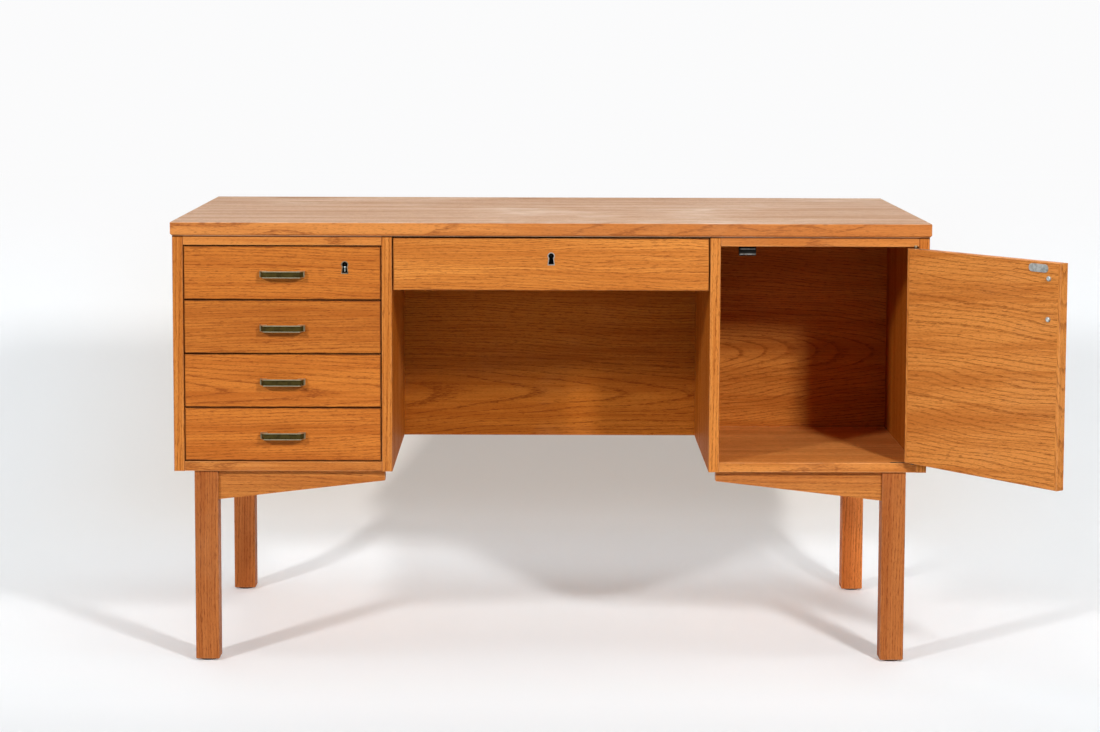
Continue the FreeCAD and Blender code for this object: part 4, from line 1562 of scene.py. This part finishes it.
    def build(self) -> None:
        """Makes the screws of the desk, the door and the drawers."""
        zinc = ZINC.material(self.effects, "_screws")
        brass = BRONZE.material(self.effects, "_screws")
        self.piece("screws_door", "door", self.on_door(), zinc)
        swinging, fixed = [], []
        for x in self.leaf_x:
            for level, facing in zip(self.door_leaves, (UP, DOWN)):
                swinging.append((SMALL, self.door_point(x, self.leaf_y, level), facing))
            for level, facing in zip(self.case_leaves, (DOWN, UP)):
                fixed.append((SMALL, self.desk_point(x, self.leaf_y, level), facing))
        self.piece("screws_hinge_door", "door", swinging, brass)
        self.piece("screws_hinge_case", "desk", fixed, brass)
        self.piece("screws_case", "desk", self.in_case(), zinc)
        for number in DRAWER_NUMBERS:
            heads = self.in_drawer(number)
            self.piece("screws_drawer_%d" % number, "drawer_%d" % number, heads, zinc)


@dataclass(frozen=True)
class Lamp:
    """A soft box: a glowing rectangle aimed at the desk.

    Attributes:
        name: The lamp's name.
        place: Its place from the middle of the top's front edge, on the floor.
        size: Its width and height.
        power: Its power in watts.
        aim: The point that it is aimed at, measured as its place is.
    """

    name: str
    place: Point
    size: tuple[float, float]
    power: float
    aim: Point = (0.0, 0.25, 0.5)

    def hang(self, origin: Vector) -> None:
        """Adds the lamp.

        Args:
            origin: The middle of the top's front edge, on the floor.
        """
        data = bpy.data.lights.new(self.name, "AREA")
        data.shape = "RECTANGLE"
        data.size, data.size_y = self.size
        data.energy = self.power
        thing = bpy.data.objects.new(self.name, data)
        bpy.context.scene.collection.objects.link(thing)
        ray = Vector(self.aim) - Vector(self.place)
        thing.location = origin + Vector(self.place)
        thing.rotation_euler = ray.to_track_quat("-Z", "Y").to_euler()


@dataclass
class Studio:
    """Pale sweep of floor and wall, three soft boxes and the camera.

    Places are measured from the middle of the top's front edge, on the floor.

    Attributes:
        origin: That point in the frame.
        eye: Place of the camera.
        pitch: How far it looks down, in degrees.
        yaw: How far it looks to the right.
        roll: How far its right side is raised.
        lens: Focal length in millimetres.
        sensor: Width of the picture behind the lens, in millimetres.
        shift: Upward shift of the frame, as a share of its width.
        sight: How far the camera sees.
        lamps: The soft boxes.
        ambient: Strength of the even light from all round.
        white: Strength at which that light shows as the plain background.
        bend_start: Depth at which the paper starts to curve up.
        bend_radius: Radius of the curve.
        bend_steps: Points in the curve.
        front: Depth of the paper's front end.
        half_width: Half the paper's width.
        height: Height of the wall.
        far_end: Depth at which the floor behind the wall ends.
        under: How far under the paper that floor lies.
        paper: Colour of the paper.
        paper_rough: Its roughness.
        paper_sheen: Level of its mirror-like reflection.
        paper_glow: Strength of the painted light that lifts it and its shadows where the camera
            sees it.
        shadow_paper: Its colour behind the desk, a painted shadow warmed as if by light thrown
            from the wood.
        front_paper: Grey that it goes to in front, painted shade where the lamps light it most.
        dark_paper: Its colour for light that it throws back from in front.
        fade_colour: Plain white that it fades to.
        seam_colour: Colour of the floor behind it at the seam.
        seam_fade: Depth over which that floor fades to plain white.
    """

    origin: Vector
    eye: Point = (-0.022, -4.083, 1.062)
    pitch: float = 5.040
    yaw: float = 0.280
    roll: float = 0.189
    lens: float = 81.14
    sensor: float = 36.0
    shift: float = -0.1091
    sight: float = 60.0
    lamps: tuple[Lamp, ...] = (
        Lamp("soft_box_left", (-2.5, -2.75, 2.15), (0.30, 0.45), 76.0),
        Lamp("soft_box_right", (1.50, -2.5, 2.05), (0.30, 0.45), 68.5),
        Lamp("soft_box_above", (0.0, 0.10, 3.1), (3.0, 1.5), 33.0),
    )
    ambient: float = 0.05
    white: float = 0.97
    bend_start: float = 0.70
    bend_radius: float = 0.95
    bend_steps: int = 24
    front: float = -7.0
    half_width: float = 9.0
    height: float = 6.0
    far_end: float = 9.0
    under: float = 0.002
    paper: Colour = (0.895, 0.93, 0.955)
    paper_rough: float = 0.9
    paper_sheen: float = 0.1
    paper_glow: float = 0.15
    shadow_paper: Colour = (0.90, 0.855, 0.80)
    front_paper: Colour = (0.55, 0.565, 0.575)
    dark_paper: Colour = (0.12, 0.12, 0.12)
    fade_colour: Colour = (0.965, 0.965, 0.97)
    seam_colour: Colour = (0.885, 0.885, 0.89)
    seam_fade: float = 1.5

    def build(self) -> None:
        """Makes the sweep, the world, the lamps and the camera."""
        bpy.context.scene.view_settings.view_transform = "Standard"
        self.sweep()
        self.floor_behind()
        self.world()
        for lamp in self.lamps:
            lamp.hang(self.origin)
        self.camera()

    def sweep(self) -> None:
        """Floor that curves up into a wall.

        The profile in Y and Z is a straight floor, a quarter circle and a straight wall, and
        it is carried along X.
        """
        bend = np.linspace(0.0, math.pi / 2, self.bend_steps)
        radius, start = self.bend_radius, self.bend_start
        depth = np.concatenate(([self.front], start + radius * np.sin(bend), [start + radius]))
        height = np.concatenate(([0.0], radius * (1 - np.cos(bend)), [self.height]))
        across = np.array((-self.half_width, self.half_width))
        grid_x, grid_y = np.meshgrid(across, depth, indexing="ij")
        grid_z = np.broadcast_to(height, grid_y.shape)
        points = np.stack((grid_x, grid_y, grid_z), axis=-1).reshape(-1, 3)
        rows = len(depth)
        first = np.arange(rows - 1)
        faces = np.stack((first, first + rows, first + rows + 1, first + 1), axis=-1).tolist()
        points = points + np.array(self.origin)
        floor = add_mesh("studio_sweep", points, faces, self.floor_material())

    def floor_behind(self) -> None:
        """A flat sheet behind the sweep, just under the floor's level."""
        left, right = -self.half_width, self.half_width
        near, far = self.bend_start, self.far_end
        corners = np.array(((left, near), (right, near), (right, far), (left, far)))
        points = np.column_stack((corners, np.full(len(corners), -self.under)))
        points = points + np.array(self.origin)
        behind = add_mesh("studio_floor_behind", points, [[0, 1, 2, 3]], self.far_material())

    def far_material(self) -> bpy.types.Material:
        """The floor behind the sweep, seen from behind only: it fades to plain white.

        Returns:
            The material.
        """
        made, graph, _ = new_material("studio_far_floor")
        start = self.origin.y + self.bend_start
        away = graph.fit(graph.split(graph.here())[1], start, start + self.seam_fade)
        glow = graph.node("ShaderNodeEmission")
        seen = graph.node("ShaderNodeLightPath").outputs["Is Camera Ray"]
        colour = graph.blend(away, self.seam_colour, self.fade_colour)
        graph.feed(glow, {"Color": colour, "Strength": seen})
        graph.put(made.node_tree.nodes["Material Output"].inputs["Surface"], glow.outputs[0])
        return made

    def floor_material(self) -> bpy.types.Material:
        """White paper that catches shadows, fades to plain white and is open from behind.

        Where the camera sees it, painted light lifts it and its shadows, weakly far in front.
        Behind the desk it carries a painted shadow: warmer, as if lit by light thrown from the
        wood, and less lifted. In front it goes to grey, painted shade where the lamps light it
        most, and darker still for every ray but the camera's, so that it throws little light back.

        Returns:
            The material.
        """
        wall_fade, floor_fade = (0.30, 0.72), (1.9, 3.2)
        shade_depth, shade_side, shade_lift = (0.75, 1.15), (0.5, 1.25, 1.0, 0.0), -0.85
        grey_depth, dark_depth, lift_depth = (0.1, -0.7, 0.0, 0.4), (-0.6, -1.4), (-0.8, 0.3, 0.1)
        made, graph, shader = new_material("studio_paper")
        seen = graph.node("ShaderNodeLightPath").outputs["Is Camera Ray"]
        rear = graph.node("ShaderNodeNewGeometry").outputs["Backfacing"]
        place = graph.here()
        high = graph.split(place)[2]
        flat = graph.vector("SUBTRACT", place, self.origin)
        flat = graph.vector("MULTIPLY", flat, (1.0, 1.0, 0.0))
        across, deep, _ = graph.split(flat)

        # Painted shadow behind the desk: the paper goes warmer there and is lifted less.
        shaded = graph.multiply(
            graph.fit(deep, *shade_depth), graph.fit(graph.unsigned(across), *shade_side)
        )
        paper = graph.blend(shaded, self.paper, self.shadow_paper)
        # Painted shade: the paper goes grey in front, where the lamps light it most.
        paper = graph.blend(graph.fit(deep, *grey_depth), paper, self.front_paper)
        unseen = graph.math("SUBTRACT", 1.0, seen)
        dim = graph.multiply(graph.fit(deep, *dark_depth), unseen)
        graph.put(shader.inputs["Base Color"], graph.blend(dim, paper, self.dark_paper))
        shader.inputs["Roughness"].default_value = self.paper_rough
        shader.inputs["Specular IOR Level"].default_value = self.paper_sheen

        # Painted light for the camera: an added glow lifts the paper and its shadows, weakly far
        # in front and less in the painted shadow behind the desk.
        near = graph.multiply_add(shaded, shade_lift, 1.0)
        near = graph.multiply(near, graph.fit(deep, *lift_depth))
        lift = graph.node("ShaderNodeEmission")
        strength = graph.multiply(graph.multiply(seen, near), self.paper_glow)
        graph.put(lift.inputs["Strength"], strength)
        lifted = graph.node("ShaderNodeAddShader")
        lit = graph.first_output(lifted, shader.outputs[0], lift.outputs[0])

        far = graph.math(
            "MAXIMUM", graph.fit(high, *wall_fade), graph.fit(graph.length(flat), *floor_fade)
        )
        glow = graph.node("ShaderNodeEmission")
        graph.put(glow.inputs["Color"], self.fade_colour)
        clear = graph.node("ShaderNodeBsdfTransparent")
        for share, other in ((far, glow), (rear, clear)):
            mixed = graph.node("ShaderNodeMixShader")
            lit = graph.first_output(mixed, graph.multiply(share, seen), lit, other.outputs[0])
        graph.put(made.node_tree.nodes["Material Output"].inputs["Surface"], lit)
        return made

    def world(self) -> None:
        """Even pale light from all round, plain white where it is seen or mirrored."""
        world = bpy.data.worlds.new("studio_light")
        bpy.context.scene.world = world
        world.use_nodes = True
        graph = Graph(world.node_tree)
        path = graph.node("ShaderNodeLightPath").outputs
        shown = graph.math("MAXIMUM", path["Is Camera Ray"], path["Is Glossy Ray"])
        shown = graph.math("MAXIMUM", shown, path["Is Transmission Ray"])
        strength = graph.multiply_add(shown, self.white - self.ambient, self.ambient)
        ground = world.node_tree.nodes["Background"]
        graph.feed(ground, {"Color": (1.0, 1.0, 1.0), "Strength": strength})

    def camera(self) -> None:
        """Adds the camera at the photograph's eye point."""
        pitch, yaw, roll = (math.radians(angle) for angle in (self.pitch, self.yaw, self.roll))
        ahead = Vector(
            (math.cos(pitch) * math.sin(yaw), math.cos(pitch) * math.cos(yaw), -math.sin(pitch))
        )
        level = Vector((math.cos(yaw), -math.sin(yaw), 0.0))
        upright = level.cross(ahead)
        right = level * math.cos(roll) + upright * math.sin(roll)
        up = right.cross(ahead)
        data = bpy.data.cameras.new("eye")
        data.sensor_width = self.sensor
        data.lens = self.lens
        data.shift_y = self.shift
        data.clip_end = self.sight
        thing = bpy.data.objects.new("eye", data)
        bpy.context.scene.collection.objects.link(thing)
        turn = Matrix((right, up, -ahead)).transposed().to_4x4()
        thing.matrix_world = Matrix.Translation(self.origin + Vector(self.eye)) @ turn
        bpy.context.scene.camera = thing


def main() -> None:
    """Builds the dressed desk in its studio."""
    logging.basicConfig(level=logging.INFO, format="%(name)s: %(message)s")
    FRAME.update(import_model())
    low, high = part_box("desktop")
    origin = Vector(((low[0] + high[0]) / 2, low[1], 0.0))
    effects = Effects()
    workshop = OakWorkshop(effects)
    Studio(origin).build()
    Case(workshop).build()
    Drawers(workshop).build()
    Cupboard(workshop).build()
    Pulls(effects).build()
    Fittings(effects).build()
    Screws(effects, origin).build()


if __name__ == "__main__":
    main()
